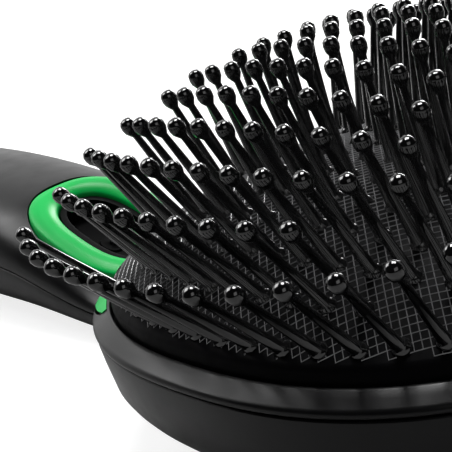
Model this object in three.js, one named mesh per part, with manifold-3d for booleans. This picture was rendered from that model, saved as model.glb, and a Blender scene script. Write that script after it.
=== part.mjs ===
// Paddle brush with a built-in ion outlet: an oval head with a domed rubber cushion of
// ball-tipped pins, and a thick battery handle.  Millimetres, +Z up.  The brush lies on its
// back: +X runs from the handle to the tip of the head, and the pins point up.
import * as THREE from 'three';
import { mergeVertices } from 'three/addons/utils/BufferGeometryUtils.js';
import Module from 'manifold-3d';

const wasm = await Module();
wasm.setup();

// ---------------------------------------------------------------- driving dimensions
// Head
const HEAD_LENGTH = 94;
const HEAD_WIDTH = 88;
const HEAD_ROUNDNESS = 2.35;
const HEAD_DEPTH = 19.8;
const RIM_HEIGHT = 2.9;
const RIM_WIDTH = 3;
const WALL = 2;
const LIP_THICKNESS = 2;
const PART_GAP = 0.3;

// Neck and handle
const NECK_LENGTH = 15;
const NECK_WIDTH = 32;
const NECK_HEIGHT = 9.6;
const NECK_SEAM = 6;
const GRIP_LENGTH = 97;
const GRIP_WIDTH = 36;
const GRIP_HEIGHT = 26.6;
const GRIP_SEAM = 12;
const RAMP_DROP = 3.6;
const BUTT_SIDE = 3.2;
const BUTT_HEIGHT = 24;
const BUTT_ROUNDING = 15;
const BACK_BULGE = 0.8;

// Ion outlet
const OUTLET_LENGTH = 38;
const OUTLET_WIDTH = 25.4;
const OUTLET_ROUNDNESS = 2.6;
const OUTLET_BAND = 5.4;
const OUTLET_DEPTH = 6;
const OUTLET_PROUD = 1.1;
const OUTLET_SUNK = 0.5;
const OUTLET_FOOT = 2.5;
const CUP_WALL = 1.4;
const CUP_RECESS = 0.6;
const NEEDLE_DIAMETER = 1;
const NEEDLE_POINT = 0.12;
const HOLDER_DIAMETER = 5;
const HOLDER_LENGTH = 3;
const STRIP_WIDTH = 2.4;
const STRIP_DEPTH = 1.2;
const STRIP_TAPER = 0.2;

// Cushion and pins
const CROWN_HEIGHT = 12.3;
const CROWN_FULLNESS = 2.6;
const CUSHION_SKIN = 2.2;
const SKIRT_HEIGHT = 1;
const SKIRT_WALL = 2.2;
const FLANGE_THICKNESS = 2.4;
const PLATE_THICKNESS = 2;
const VENT_DIAMETER = 6;
const PIN_PITCH = 4.85;
const PIN_NEAREST = 4.1;
const ROW_PITCH = 5.55;
const ROW_COUNT = 15;
const ROW_END_MARGIN = 2;
const ROW_REACH_TO_NECK = 24;
const PIN_LENGTH = 16.2;
const PIN_BASE_DIAMETER = 1.9;
const PIN_NECK_DIAMETER = 1;
const BALL_DIAMETER = 2.2;
const PIN_SPLAY_ACROSS = 41;
const PIN_SPLAY_ALONG = 7;
const EDGE_LEAN_ACROSS = 0.2;
const EDGE_LEAN_ALONG = 0.5;
const SLICE_ROWS = 4;

// Power and electronics
const CELL_DIAMETER = 10.5;
const CELL_LENGTH = 44.5;
const CELL_NUB_DIAMETER = 3.8;
const CELL_NUB_LENGTH = 0.8;
const TRAY_WALL = 1.2;
const TRAY_POST = 6;
const CONTACT_THICKNESS = 0.5;
const CONTACT_WIDTH = 7;
const SPRING_LENGTH = 3;
const SPRING_DIAMETER = 5;
const SPRING_WIRE = 0.6;
const SPRING_TURNS = 2;
const SPRING_TAPER = 0.7;
const BOARD_LENGTH = 30;
const BOARD_WIDTH = 14;
const BOARD_THICKNESS = 1.6;
const MODULE_LENGTH = 20;
const MODULE_WIDTH = 13;
const SWITCH_LENGTH = 12;
const SWITCH_WIDTH = 6;
const SWITCH_TRAVEL = 4;
const SWITCH_SETBACK = 38;
const BUTTON_LENGTH = 9;
const BUTTON_WIDTH = 6.4;
const BUTTON_HEIGHT = 2.2;
const BUTTON_GROOVE = 0.6;
const STEM_WIDTH = 2.4;
const FOOT_THICKNESS = 1;
const POCKET_DEPTH = 1.4;
const LAMP_DIAMETER = 2.4;
const LAMP_SPACING = 5;
const DOOR_OVERLAP = 2;
const SCREW_DIAMETER = 2.4;
const SCREW_HEAD_DIAMETER = 4.4;
const SCREW_HEAD_HEIGHT = 1.6;
const SCREW_SLOT = 0.6;
const SCREW_SINK = 3;
const BOSS_WALL = 1.5;
const BOSS_OVERLAP = 2;
const NECK_BOSS_INSET = 4;
const GRIP_BOSS_INSET = 4;
const GRIP_BOSS_SPREAD = 10.5;
const PLATE_SCREW_SPREAD = 0.55;
const PILOT_COVER = 1;
const LEAD_DIAMETER = 1.2;
const LEAD_HEIGHT = 6;

// ---------------------------------------------------------------- places worked out from them
const headHalfLength = HEAD_LENGTH / 2;
const headHalfWidth = HEAD_WIDTH / 2;
const headSeam = HEAD_DEPTH;
const rimTop = headSeam + RIM_HEIGHT;
const neckX = -headHalfLength - NECK_LENGTH;
const rampTopX = neckX - OUTLET_LENGTH;
const buttX = rampTopX - GRIP_LENGTH;
const overallLength = headHalfLength - buttX;
const cushionInset = RIM_WIDTH + PART_GAP;
const flangeTop = rimTop - LIP_THICKNESS - PART_GAP;
const flangeBottom = flangeTop - FLANGE_THICKNESS;
const plateTop = flangeBottom - PART_GAP;
const plateBottom = plateTop - PLATE_THICKNESS;
const seatedInset = WALL + PART_GAP;
const skirtTop = rimTop + PART_GAP;
const cellY = CELL_DIAMETER / 2 + PART_GAP;
const trayHalfWidth = cellY + CELL_DIAMETER / 2 + PART_GAP + TRAY_WALL;
const domeBottom = skirtTop + PART_GAP;
const domeEdge = domeBottom + SKIRT_HEIGHT;
const crownTop = domeEdge + CROWN_HEIGHT;

// ---------------------------------------------------------------- finishes
const satinBlack = { color: 0x131315, roughness: 0.42, metalness: 0 };
const glossBlack = { color: 0x070708, roughness: 0.12, metalness: 0 };
const rubberBlack = { color: 0x0d0d0e, roughness: 0.5, metalness: 0 };
const accentGreen = { color: 0x0aa648, roughness: 0.25, metalness: 0 };
const darkPlastic = { color: 0x1c1c1f, roughness: 0.6, metalness: 0 };
const steel = { color: 0xb9bcc0, roughness: 0.3, metalness: 1 };
const boardGreen = { color: 0x1b5a34, roughness: 0.55, metalness: 0 };
const cellSleeve = { color: 0x30363c, roughness: 0.4, metalness: 0.2 };
const lampClear = { color: 0xd8e6d8, roughness: 0.15, metalness: 0 };
const leadRed = { color: 0x9a1c1c, roughness: 0.5, metalness: 0 };

// ---------------------------------------------------------------- solids
// A closed mesh becomes a solid that can be cut and joined.
function solidOf(geometry) {
  const bare = geometry.clone();
  bare.deleteAttribute('normal');
  bare.deleteAttribute('uv');
  const merged = mergeVertices(bare, 1e-4);
  const vertProperties = new Float32Array(merged.attributes.position.array);
  const triVerts = new Uint32Array(merged.index.array);
  return new wasm.Manifold(new wasm.Mesh({ numProp: 3, vertProperties, triVerts }));
}

function geometryOf(solid) {
  const mesh = solid.getMesh();
  const geometry = new THREE.BufferGeometry();
  geometry.setAttribute('position', new THREE.BufferAttribute(new Float32Array(mesh.vertProperties), 3));
  geometry.setIndex(new THREE.BufferAttribute(new Uint32Array(mesh.triVerts), 1));
  return geometry;
}

// Rings of equal point counts are skinned one to the next; the ends are capped, the last one
// to a tip where there is one, or the last ring joins the first where the skin closes on itself.
function loft(rings, closed = false, tip = null) {
  const count = rings[0].length;
  const points = rings.flat();
  const faces = [];
  const bands = closed ? rings.length : rings.length - 1;
  for (let band = 0; band < bands; band += 1) {
    const low = band * count;
    const high = ((band + 1) % rings.length) * count;
    for (let i = 0; i < count; i += 1) {
      const next = (i + 1) % count;
      faces.push(low + i, low + next, high + next, low + i, high + next, high + i);
    }
  }
  if (!closed) {
    for (const [start, turned] of [[0, true], [(rings.length - 1) * count, false]]) {
      const centre = new THREE.Vector3();
      points.slice(start, start + count).forEach((point) => centre.add(point));
      const hub = points.push(tip && !turned ? tip : centre.divideScalar(count)) - 1;
      for (let i = 0; i < count; i += 1) {
        const next = (i + 1) % count;
        faces.push(hub, start + (turned ? next : i), start + (turned ? i : next));
      }
    }
  }
  const geometry = new THREE.BufferGeometry().setFromPoints(points);
  geometry.setIndex(enclosedVolume(points, faces) < 0 ? faces.reverse() : faces);
  return solidOf(geometry);
}

function enclosedVolume(points, faces) {
  let volume = 0;
  const normal = new THREE.Vector3();
  for (let i = 0; i < faces.length; i += 3) {
    normal.crossVectors(points[faces[i + 1]], points[faces[i + 2]]);
    volume += points[faces[i]].dot(normal) / 6;
  }
  return volume;
}

// A box between two corners.
function block(low, high) {
  const size = high.map((value, axis) => value - low[axis]);
  const geometry = new THREE.BoxGeometry(...size);
  geometry.translate(...low.map((value, axis) => value + size[axis] / 2));
  return solidOf(geometry);
}

// A round bar between two points.
function bar(from, to, diameter, sides = 20, endDiameter = diameter) {
  const start = new THREE.Vector3(...from);
  const along = new THREE.Vector3(...to).sub(start);
  const geometry = new THREE.CylinderGeometry(endDiameter / 2, diameter / 2, along.length(), sides);
  geometry.translate(0, along.length() / 2, 0);
  const turn = new THREE.Quaternion().setFromUnitVectors(new THREE.Vector3(0, 1, 0), along.normalize());
  geometry.applyQuaternion(turn);
  geometry.translate(start.x, start.y, start.z);
  return solidOf(geometry);
}

// A plate or prism: a flat outline in X and Y, raised from one height to another.
function prism(outline, bottom, top) {
  const shape = new THREE.Shape(outline.map(([x, y]) => new THREE.Vector2(x, y)));
  const geometry = new THREE.ExtrudeGeometry(shape, { depth: top - bottom, bevelEnabled: false });
  geometry.translate(0, 0, bottom);
  return solidOf(geometry);
}

// A round wire or lead along a smooth curve.
function wire(points, diameter, steps, sides = 8) {
  const path = new THREE.CatmullRomCurve3(points.map((point) => new THREE.Vector3(...point)));
  const section = new THREE.Shape();
  section.absarc(0, 0, diameter / 2, 0, Math.PI * 2, false);
  const options = { steps, extrudePath: path, curveSegments: sides / 2, bevelEnabled: false };
  return solidOf(new THREE.ExtrudeGeometry(section, options));
}

// ---------------------------------------------------------------- curves
const lerp = (a, b, t) => a + (b - a) * t;
const ease = (t) => THREE.MathUtils.smoothstep(t, 0, 1);
const power = (value, exponent) => Math.sign(value) * Math.abs(value) ** exponent;

// An oval between an ellipse and a rectangle, as [x, y] points.
function oval(halfLength, halfWidth, roundness, count) {
  return Array.from({ length: count }, (_, i) => {
    const angle = (i / count) * Math.PI * 2;
    const x = halfLength * power(Math.cos(angle), 2 / roundness);
    return [x, halfWidth * power(Math.sin(angle), 2 / roundness)];
  });
}

// The head's outline, drawn in by an inset.
const headOval = (inset, count) =>
  oval(headHalfLength - inset, headHalfWidth - inset, HEAD_ROUNDNESS, count);

// A smooth curve through [x, value] pairs, with x falling.
function through(pairs, x) {
  const last = pairs.length - 1;
  if (x >= pairs[0][0]) return pairs[0][1];
  if (x <= pairs[last][0]) return pairs[last][1];
  const i = pairs.findIndex((pair) => x > pair[0]) - 1;
  const slope = (k) => {
    const before = pairs[Math.max(k - 1, 0)];
    const after = pairs[Math.min(k + 1, last)];
    return k === 0 || k === last ? 0 : (after[1] - before[1]) / (after[0] - before[0]);
  };
  const span = pairs[i + 1][0] - pairs[i][0];
  const t = (x - pairs[i][0]) / span;
  const start = (1 + 2 * t) * (1 - t) ** 2 * pairs[i][1] + t * (1 - t) ** 2 * span * slope(i);
  const end = t ** 2 * (3 - 2 * t) * pairs[i + 1][1] + t ** 2 * (t - 1) * span * slope(i + 1);
  return start + end;
}

// ---------------------------------------------------------------- housing
const TIP_ANGLE = 0.04;

// Side view and plan of the neck and handle, from the head's end to the butt.
const gripMiddleX = lerp(rampTopX, buttX, 0.45);
const rampTopHeight = GRIP_HEIGHT - RAMP_DROP;
const halfWidths = [
  [-headHalfLength * 0.6, NECK_WIDTH / 2], [neckX, NECK_WIDTH / 2],
  [rampTopX, GRIP_WIDTH / 2], [gripMiddleX, GRIP_WIDTH / 2], [buttX, trayHalfWidth + BUTT_SIDE],
];
const tops = [
  [-headHalfLength, rimTop], [neckX, NECK_HEIGHT],
  [lerp(neckX, rampTopX, 0.5), (NECK_HEIGHT + rampTopHeight + 1) / 2], [rampTopX, rampTopHeight],
  [gripMiddleX, GRIP_HEIGHT], [buttX, BUTT_HEIGHT],
];
const seams = [
  [-headHalfLength * 0.92, headSeam], [neckX, NECK_SEAM], [rampTopX, GRIP_SEAM], [buttX, GRIP_SEAM],
];
const seamAt = (x) => through(seams, x);
const topAt = (x) => through(tops, x);

// Half width, heights and roundness of the whole housing at one place along it.
function sectionAt(x, inset) {
  const reach = Math.min(1, Math.abs(x) / (headHalfLength - inset));
  const headHalf = (headHalfWidth - inset) * (1 - reach ** HEAD_ROUNDNESS) ** (1 / HEAD_ROUNDNESS);
  const gripHalf = x < 0 ? (through(halfWidths, x) - inset) * ease(-x / (headHalfLength * 0.6)) : 0;
  const buttStart = buttX + BUTT_ROUNDING;
  const pastStart = Math.max(0, (buttStart - x) / (BUTT_ROUNDING - inset));
  const buttFade = Math.max(0, 1 - pastStart ** 2.4) ** (1 / 2.4);
  const tipFade = x > 0 ? Math.max(0, 1 - reach ** 3) ** (1 / 3) : 1;
  const gripShare = ease((-x - headHalfLength * 0.85) / (NECK_LENGTH * 0.9));
  const seam = seamAt(x);
  return {
    x,
    seam,
    halfWidth: Math.max(0.05, (headHalf ** 6 + gripHalf ** 6) ** (1 / 6) * buttFade),
    rise: Math.max(0.05, (topAt(x) - seam - inset) * buttFade),
    drop: Math.max(0.05, (seam + BACK_BULGE - inset) * buttFade * tipFade),
    floor: inset,
    crownRoundness: lerp(6, 2.3, gripShare),
    backRoundness: lerp(2.7, 2.5, gripShare),
  };
}

// One ring of the housing's skin.
function sectionRing(section, count) {
  return Array.from({ length: count }, (_, i) => {
    const angle = ((i + 0.5) / count) * Math.PI * 2;
    const upper = Math.sin(angle) > 0;
    const roundness = upper ? section.crownRoundness : section.backRoundness;
    const y = section.halfWidth * power(Math.cos(angle), 2 / roundness);
    const lift = (upper ? section.rise : section.drop) * power(Math.sin(angle), 2 / roundness);
    return new THREE.Vector3(section.x, y, Math.max(section.seam + lift, section.floor));
  });
}

// Places along the housing: close together round the tip, the shoulders, the neck and the butt.
function housingPlaces(inset, steps) {
  const places = [];
  for (let i = 0; i < steps.head; i += 1) {
    const angle = lerp(TIP_ANGLE, Math.PI, i / steps.head);
    places.push((headHalfLength - inset) * power(Math.cos(angle), 2 / HEAD_ROUNDNESS));
  }
  const buttStart = buttX + BUTT_ROUNDING;
  for (let i = 0; i < steps.neck; i += 1) places.push(lerp(-headHalfLength, rampTopX, i / steps.neck));
  for (let i = 0; i < steps.grip; i += 1) places.push(lerp(rampTopX, buttStart, i / steps.grip));
  for (let i = 0; i <= steps.butt; i += 1) {
    const angle = lerp(0, Math.PI / 2 - TIP_ANGLE, i / steps.butt);
    places.push(buttStart - (BUTT_ROUNDING - inset) * Math.sin(angle));
  }
  return places;
}

function housingBody(inset, steps) {
  return loft(housingPlaces(inset, steps).map((x) => sectionRing(sectionAt(x, inset), steps.around)));
}

// All that lies under the parting surface, raised or lowered by a little.
function underSeam(lift) {
  const outline = [];
  const steps = 24;
  for (let i = 0; i <= steps; i += 1) {
    const x = lerp(headHalfLength + 5, buttX - 5, i / steps);
    outline.push([x, seamAt(x) + lift]);
  }
  outline.push([buttX - 5, -5], [headHalfLength + 5, -5]);
  const half = HEAD_WIDTH;
  return prism(outline, -half, half).rotate([90, 0, 0]);
}

const bossPlaces = [[neckX + NECK_BOSS_INSET, 0], [rampTopX - GRIP_BOSS_INSET, GRIP_BOSS_SPREAD],
  [rampTopX - GRIP_BOSS_INSET, -GRIP_BOSS_SPREAD]];
const platePlaces = [-1, 1].flatMap((side) => [-1, 1].map((end) =>
  [end * headHalfLength * PLATE_SCREW_SPREAD, side * headHalfWidth * PLATE_SCREW_SPREAD]));

// A housing screw stands in a sink in the back and bites into a boss of the front shell.
const bossDiameter = SCREW_DIAMETER + 2 * BOSS_WALL;
const collarDiameter = SCREW_HEAD_DIAMETER + 2 * BOSS_WALL;
const sinkTop = SCREW_HEAD_HEIGHT + SCREW_SINK;
const bossFoot = (x) => seamAt(x) - BOSS_OVERLAP;
const pilotTop = (x) => topAt(x) - WALL - PILOT_COVER;
const plateScrewEnd = WALL + PILOT_COVER + PART_GAP;

const outerSteps = { around: 24, head: 14, neck: 9, grip: 5, butt: 4 };
const innerSteps = { around: 16, head: 10, neck: 9, grip: 5, butt: 3 };
const outerBody = housingBody(0, outerSteps);
const cavityBody = housingBody(WALL, innerSteps);
const midWallBody = housingBody(WALL / 2, innerSteps);
const shellBody = outerBody.subtract(cavityBody);
const lowerSpace = underSeam(-PART_GAP / 2);
const upperSpace = underSeam(PART_GAP / 2);

// ---------------------------------------------------------------- ion outlet frame of reference
// The outlet lies in the ramp between the neck and the grip.
const rampTilt = Math.atan2(rampTopHeight - NECK_HEIGHT, OUTLET_LENGTH);
const outletHeight = (NECK_HEIGHT + rampTopHeight) / 2 - OUTLET_SUNK;
const outletCentre = new THREE.Vector3(lerp(neckX, rampTopX, 0.5), 0, outletHeight);
function onRamp(solid) {
  const turned = solid.rotate([0, THREE.MathUtils.radToDeg(rampTilt), 0]);
  return turned.translate([outletCentre.x, outletCentre.y, outletCentre.z]);
}
const outletOval = (inset, count) =>
  oval(OUTLET_LENGTH / 2 - inset, OUTLET_WIDTH / 2 - inset, OUTLET_ROUNDNESS, count);

function outletRing(outerInset, innerInset, bottom, top, count) {
  return prism(outletOval(outerInset, count), bottom, top)
    .subtract(prism(outletOval(innerInset, count), bottom - 1, top + 1));
}

// ---------------------------------------------------------------- switch, door and screw holes
const switchX = rampTopX - SWITCH_SETBACK;
const pocketFloor = topAt(switchX) - POCKET_DEPTH;
const pocketHalfLength = (BUTTON_LENGTH + SWITCH_TRAVEL) / 2 + PART_GAP;
const buttonStartX = switchX - SWITCH_TRAVEL / 2;
const stemHalf = STEM_WIDTH / 2;
const lampX = switchX + pocketHalfLength + LAMP_SPACING;

function switchCuts() {
  const half = BUTTON_WIDTH / 2 + PART_GAP;
  const low = pocketFloor - GRIP_HEIGHT / 2;
  const high = pocketFloor + GRIP_HEIGHT / 2;
  const pocket = block([switchX - pocketHalfLength, -half, pocketFloor],
    [switchX + pocketHalfLength, half, high]);
  const reach = SWITCH_TRAVEL / 2 + stemHalf + PART_GAP;
  const slotHalf = stemHalf + PART_GAP;
  const slot = block([switchX - reach, -slotHalf, low], [switchX + reach, slotHalf, high]);
  const lamp = bar([lampX, 0, low], [lampX, 0, high], LAMP_DIAMETER + 2 * PART_GAP, 12);
  return pocket.add(slot).add(lamp);
}

// ---------------------------------------------------------------- front and back shells
// The cushion's flange and its plate lie in a seat cut to the head's outline.
const cushionSeat = prism(headOval(WALL, 48), plateBottom - PART_GAP, rimTop - LIP_THICKNESS);

function frontShell() {
  const opening = prism(headOval(RIM_WIDTH, 48), flangeBottom, rimTop + 10);
  const outlet = onRamp(prism(outletOval(-PART_GAP, 40), -OUTLET_DEPTH - HOLDER_LENGTH, OUTLET_WIDTH));
  let shell = shellBody.subtract(upperSpace).subtract(cushionSeat).subtract(opening).subtract(outlet);
  shell = shell.subtract(switchCuts()).add(pocketPad());
  for (const [x, y] of bossPlaces) {
    const boss = bar([x, y, bossFoot(x)], [x, y, topAt(x) - WALL / 2], bossDiameter, 12);
    const pilot = bar([x, y, bossFoot(x) - 1], [x, y, pilotTop(x)], SCREW_DIAMETER + PART_GAP, 10);
    shell = shell.add(boss.intersect(midWallBody)).subtract(pilot);
  }
  return shell.subtract(stripGroove());
}

// The wall is thickened under the switch pocket, so that the pocket has a floor.
function pocketPad() {
  const half = BUTTON_WIDTH / 2 + WALL;
  const low = [switchX - pocketHalfLength - WALL, -half, pocketFloor - WALL];
  const high = [switchX + pocketHalfLength + WALL, half, pocketFloor + POCKET_DEPTH / 2];
  return block(low, high).intersect(outerBody).subtract(switchCuts());
}

function backShell() {
  let shell = shellBody.intersect(lowerSpace).subtract(cushionSeat).subtract(doorSpace(PART_GAP));
  for (const [x, y] of platePlaces) {
    const post = bar([x, y, WALL / 2], [x, y, plateBottom - PART_GAP], bossDiameter, 12);
    const pilot = bar([x, y, plateScrewEnd - PART_GAP], [x, y, plateBottom], SCREW_DIAMETER + PART_GAP, 10);
    shell = shell.add(post.intersect(outerBody)).subtract(pilot);
  }
  for (const [x, y] of bossPlaces) {
    const collar = bar([x, y, WALL / 2], [x, y, bossFoot(x) - PART_GAP], collarDiameter, 16);
    const sink = bar([x, y, -1], [x, y, sinkTop], SCREW_HEAD_DIAMETER + PART_GAP, 12);
    const hole = bar([x, y, -1], [x, y, seamAt(x)], SCREW_DIAMETER + PART_GAP, 10);
    shell = shell.add(collar.intersect(outerBody)).subtract(sink).subtract(hole);
  }
  return shell.subtract(stripGroove());
}

// The sliding door is the lower half of the handle, from its front edge to the butt.
function doorSpace(clearance) {
  return block([buttX - HEAD_WIDTH, -HEAD_WIDTH, -HEAD_WIDTH], [doorX + clearance, HEAD_WIDTH, HEAD_WIDTH]);
}

const batteryDoor = () => shellBody.intersect(lowerSpace).intersect(doorSpace(0));

// ---------------------------------------------------------------- accent strips in the seam
// Each strip starts beside the neck and tapers away round the head's shoulder.
const stripStartX = -headHalfLength * 0.96;
const stripEndX = -headHalfLength * 0.745;
const stripSteps = 12;
function accentStrip(side, growth) {
  const outside = -PART_GAP / 2 - growth;
  const inside = STRIP_DEPTH + growth;
  const rings = [];
  for (let i = 0; i <= stripSteps; i += 1) {
    const t = i / stripSteps;
    const x = lerp(stripStartX, stripEndX, t);
    const edge = sectionAt(x, 0);
    const slope = (sectionAt(x + 0.1, 0).halfWidth - sectionAt(x - 0.1, 0).halfWidth) / 0.2;
    const length = Math.hypot(slope, 1);
    const half = (STRIP_WIDTH / 2) * lerp(1, STRIP_TAPER, t ** 2) + growth;
    const corners = [[inside, -half], [outside, -half], [outside, half], [inside, half]];
    rings.push(corners.map(([depth, lift]) => new THREE.Vector3(
      x + (depth * slope) / length, side * (edge.halfWidth - depth / length), edge.seam + lift)));
  }
  return loft(rings);
}

function stripGroove() {
  return accentStrip(1, PART_GAP).add(accentStrip(-1, PART_GAP));
}

// ---------------------------------------------------------------- cushion
// Height of the dome at a share of the way from its middle to its edge.
const domeHeight = (share) => crownTop - CROWN_HEIGHT * share ** CROWN_FULLNESS;
const domeHalfLength = headHalfLength - cushionInset;
const domeHalfWidth = headHalfWidth - cushionInset;
function domeShare(x, y) {
  const sum = Math.abs(x / domeHalfLength) ** HEAD_ROUNDNESS + Math.abs(y / domeHalfWidth) ** HEAD_ROUNDNESS;
  return sum ** (1 / HEAD_ROUNDNESS);
}

function domeRing(share, z, count) {
  const outline = oval(domeHalfLength * share, domeHalfWidth * share, HEAD_ROUNDNESS, count);
  return outline.map(([x, y]) => new THREE.Vector3(x, y, z));
}

function cushionDome() {
  const count = 32;
  const shares = [0.3, 0.6, 0.85];
  const below = shares.map((share) => domeRing(share, domeHeight(share) - CUSHION_SKIN, count));
  const rim = [domeRing(1, domeBottom, count), domeRing(1, domeEdge, count)];
  const above = shares.map((share) => domeRing(share, domeHeight(share), count)).reverse();
  return loft([...below, ...rim, ...above]);
}

// The skirt stands in the rim's opening, and its flange lies between the rim and the plate.
function cushionSkirt() {
  const profile = [
    [seatedInset, flangeBottom], [seatedInset, flangeTop], [cushionInset, flangeTop],
    [cushionInset, skirtTop], [cushionInset + SKIRT_WALL, skirtTop],
    [cushionInset + SKIRT_WALL, flangeBottom],
  ];
  const rings = profile.map(([inset, z]) => headOval(inset, 48).map(([x, y]) => new THREE.Vector3(x, y, z)));
  return loft(rings, true);
}

function cushionPlate() {
  let plate = prism(headOval(seatedInset, 48), plateBottom, plateTop);
  plate = plate.subtract(bar([0, 0, plateBottom - 1], [0, 0, plateTop + 1], VENT_DIAMETER, 16));
  for (const [x, y] of platePlaces) {
    plate = plate.subtract(bar([x, y, plateBottom - 1], [x, y, plateTop + 1], SCREW_DIAMETER + PART_GAP, 10));
  }
  return plate;
}

// ---------------------------------------------------------------- pins
const rowLimit = ((ROW_COUNT - 1) / 2) * ROW_PITCH;
const rowReach = domeHalfLength - ROW_END_MARGIN;
const rowEnd = 0.97 * rowReach;
const bowAt = (x) => (1 - Math.min(1, Math.abs(x / rowReach)) ** HEAD_ROUNDNESS) ** (1 / HEAD_ROUNDNESS);

// A row bows like the head's outline. Its pins are evenly spaced along it from the middle out,
// each row half a pitch on from the last.
function placesAlongRow(row) {
  const step = 0.05;
  const straight = row * ROW_PITCH - rowLimit;
  const places = [];
  let due = row % 2 === 0 ? 0 : PIN_PITCH / 2;
  let travelled = 0;
  for (let x = 0; x < rowEnd; x += step) {
    const y = straight * bowAt(x);
    if (travelled >= due) {
      places.push([x, y]);
      if (x > 0 && x < ROW_REACH_TO_NECK) places.push([-x, y]);
      due += PIN_PITCH;
    }
    travelled += Math.hypot(step, straight * bowAt(x + step) - y);
  }
  return places;
}

// Rows close in on each other towards the ends, so a pin too near one further out is left off.
const pinRows = [];
const outerFirst = Array.from({ length: ROW_COUNT }, (_, row) => row)
  .sort((one, two) => Math.min(one, ROW_COUNT - 1 - one) - Math.min(two, ROW_COUNT - 1 - two));
for (const row of outerFirst) {
  const taken = pinRows.flat();
  const clearOf = ([x, y]) => ([takenX, takenY]) => Math.hypot(x - takenX, y - takenY) > PIN_NEAREST;
  pinRows[row] = placesAlongRow(row).filter((place) => taken.every(clearOf(place)));
}

// Pins lean out from the middle, and the outermost ones lean further.
function pinDirection(x, y) {
  const edge = domeShare(x, y) ** 8;
  const alongSlope = Math.tan(THREE.MathUtils.degToRad(PIN_SPLAY_ALONG)) + EDGE_LEAN_ALONG * edge;
  const acrossSlope = Math.tan(THREE.MathUtils.degToRad(PIN_SPLAY_ACROSS)) + EDGE_LEAN_ACROSS * edge;
  const lean = new THREE.Vector3(alongSlope * (x / domeHalfLength), acrossSlope * (y / domeHalfWidth), 1);
  return lean.normalize();
}

// A tapered four-sided stem with a faceted ball at its tip, rooted in the skin.
const pinProfile = [
  [-CUSHION_SKIN * 0.45, PIN_BASE_DIAMETER / 2], [PIN_LENGTH - BALL_DIAMETER / 2, PIN_NECK_DIAMETER / 2],
  [PIN_LENGTH, BALL_DIAMETER / 2],
];
function pin([x, y]) {
  const turn = new THREE.Quaternion().setFromUnitVectors(new THREE.Vector3(0, 0, 1), pinDirection(x, y));
  const root = new THREE.Vector3(x, y, domeHeight(domeShare(x, y)));
  const rings = pinProfile.map(([height, radius]) => [0, 1, 2, 3].map((corner) => {
    const angle = (corner * Math.PI) / 2;
    const point = new THREE.Vector3(radius * Math.cos(angle), radius * Math.sin(angle), height);
    return point.applyQuaternion(turn).add(root);
  }));
  const tip = new THREE.Vector3(0, 0, PIN_LENGTH + BALL_DIAMETER / 2).applyQuaternion(turn).add(root);
  return loft(rings, false, tip);
}

// The cushion is divided between rows, along the same bow.
const sliceCount = Math.ceil(ROW_COUNT / SLICE_ROWS);
function sliceSpace(index) {
  const steps = 16;
  const side = (row, shift) => Array.from({ length: steps + 1 }, (_, i) => {
    const x = lerp(-headHalfLength, headHalfLength, i / steps);
    return [x, (row * ROW_PITCH - rowLimit) * bowAt(Math.min(Math.abs(x), rowEnd)) + shift];
  });
  const low = index === 0 ? -2 * ROW_COUNT : index * SLICE_ROWS - 0.5;
  const high = index === sliceCount - 1 ? 3 * ROW_COUNT : (index + 1) * SLICE_ROWS - 0.5;
  const outline = [...side(low, PART_GAP / 2), ...side(high, -PART_GAP / 2).reverse()];
  return prism(outline, 0, crownTop + 10);
}

function pinPad(index) {
  const pins = [];
  for (let row = index * SLICE_ROWS; row < Math.min(ROW_COUNT, (index + 1) * SLICE_ROWS); row += 1) {
    pins.push(...pinRows[row].map(pin));
  }
  const slice = cushionDome().intersect(sliceSpace(index));
  return wasm.Manifold.union([slice, ...pins]);
}

// ---------------------------------------------------------------- ion outlet pieces
const outletBezel = () => onRamp(outletRing(0, OUTLET_BAND, -OUTLET_FOOT, OUTLET_PROUD, 40));

const cupInset = OUTLET_BAND + PART_GAP;
const needleBore = NEEDLE_DIAMETER + 2 * PART_GAP;
const needleFoot = -OUTLET_DEPTH - (HOLDER_LENGTH * 2) / 3;
const needleShoulder = -OUTLET_DEPTH / 2;
function outletCup() {
  const floor = -OUTLET_DEPTH + CUP_WALL;
  const cup = prism(outletOval(cupInset, 28), -OUTLET_DEPTH, -CUP_RECESS)
    .subtract(prism(outletOval(cupInset + CUP_WALL, 28), floor, 1));
  return onRamp(cup.subtract(bar([0, 0, -OUTLET_DEPTH - 1], [0, 0, 0], needleBore, 10)));
}

function emitterNeedle() {
  const shank = bar([0, 0, needleFoot], [0, 0, needleShoulder], NEEDLE_DIAMETER, 10);
  const point = bar([0, 0, needleShoulder], [0, 0, -2 * CUP_RECESS], NEEDLE_DIAMETER, 10, NEEDLE_POINT);
  return onRamp(shank.add(point));
}

function needleHolder() {
  const foot = -OUTLET_DEPTH - HOLDER_LENGTH;
  const holder = bar([0, 0, foot], [0, 0, -OUTLET_DEPTH - PART_GAP], HOLDER_DIAMETER, 12);
  return onRamp(holder.subtract(bar([0, 0, needleFoot - PART_GAP], [0, 0, 0], needleBore, 10)));
}

// ---------------------------------------------------------------- batteries and their contacts
// Two cells lie side by side, nose to tail, each against a fixed contact and a spring.
const cellZ = WALL + 2 * PART_GAP + CELL_DIAMETER / 2;
const trayBackX = buttX + BUTT_ROUNDING;
const backPlateX = trayBackX + TRAY_WALL + PART_GAP + CONTACT_THICKNESS;
const frontPlateX = backPlateX + CELL_LENGTH + SPRING_LENGTH + PART_GAP;
const trayFrontX = frontPlateX + CONTACT_THICKNESS + PART_GAP + TRAY_WALL;
const doorX = trayFrontX + DOOR_OVERLAP;
const trayRoof = cellZ + CELL_DIAMETER / 2 + PART_GAP;
const trayTop = trayRoof + TRAY_WALL;
const trayBottom = cellZ;
const contactHalfWidth = CONTACT_WIDTH / 2;

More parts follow.
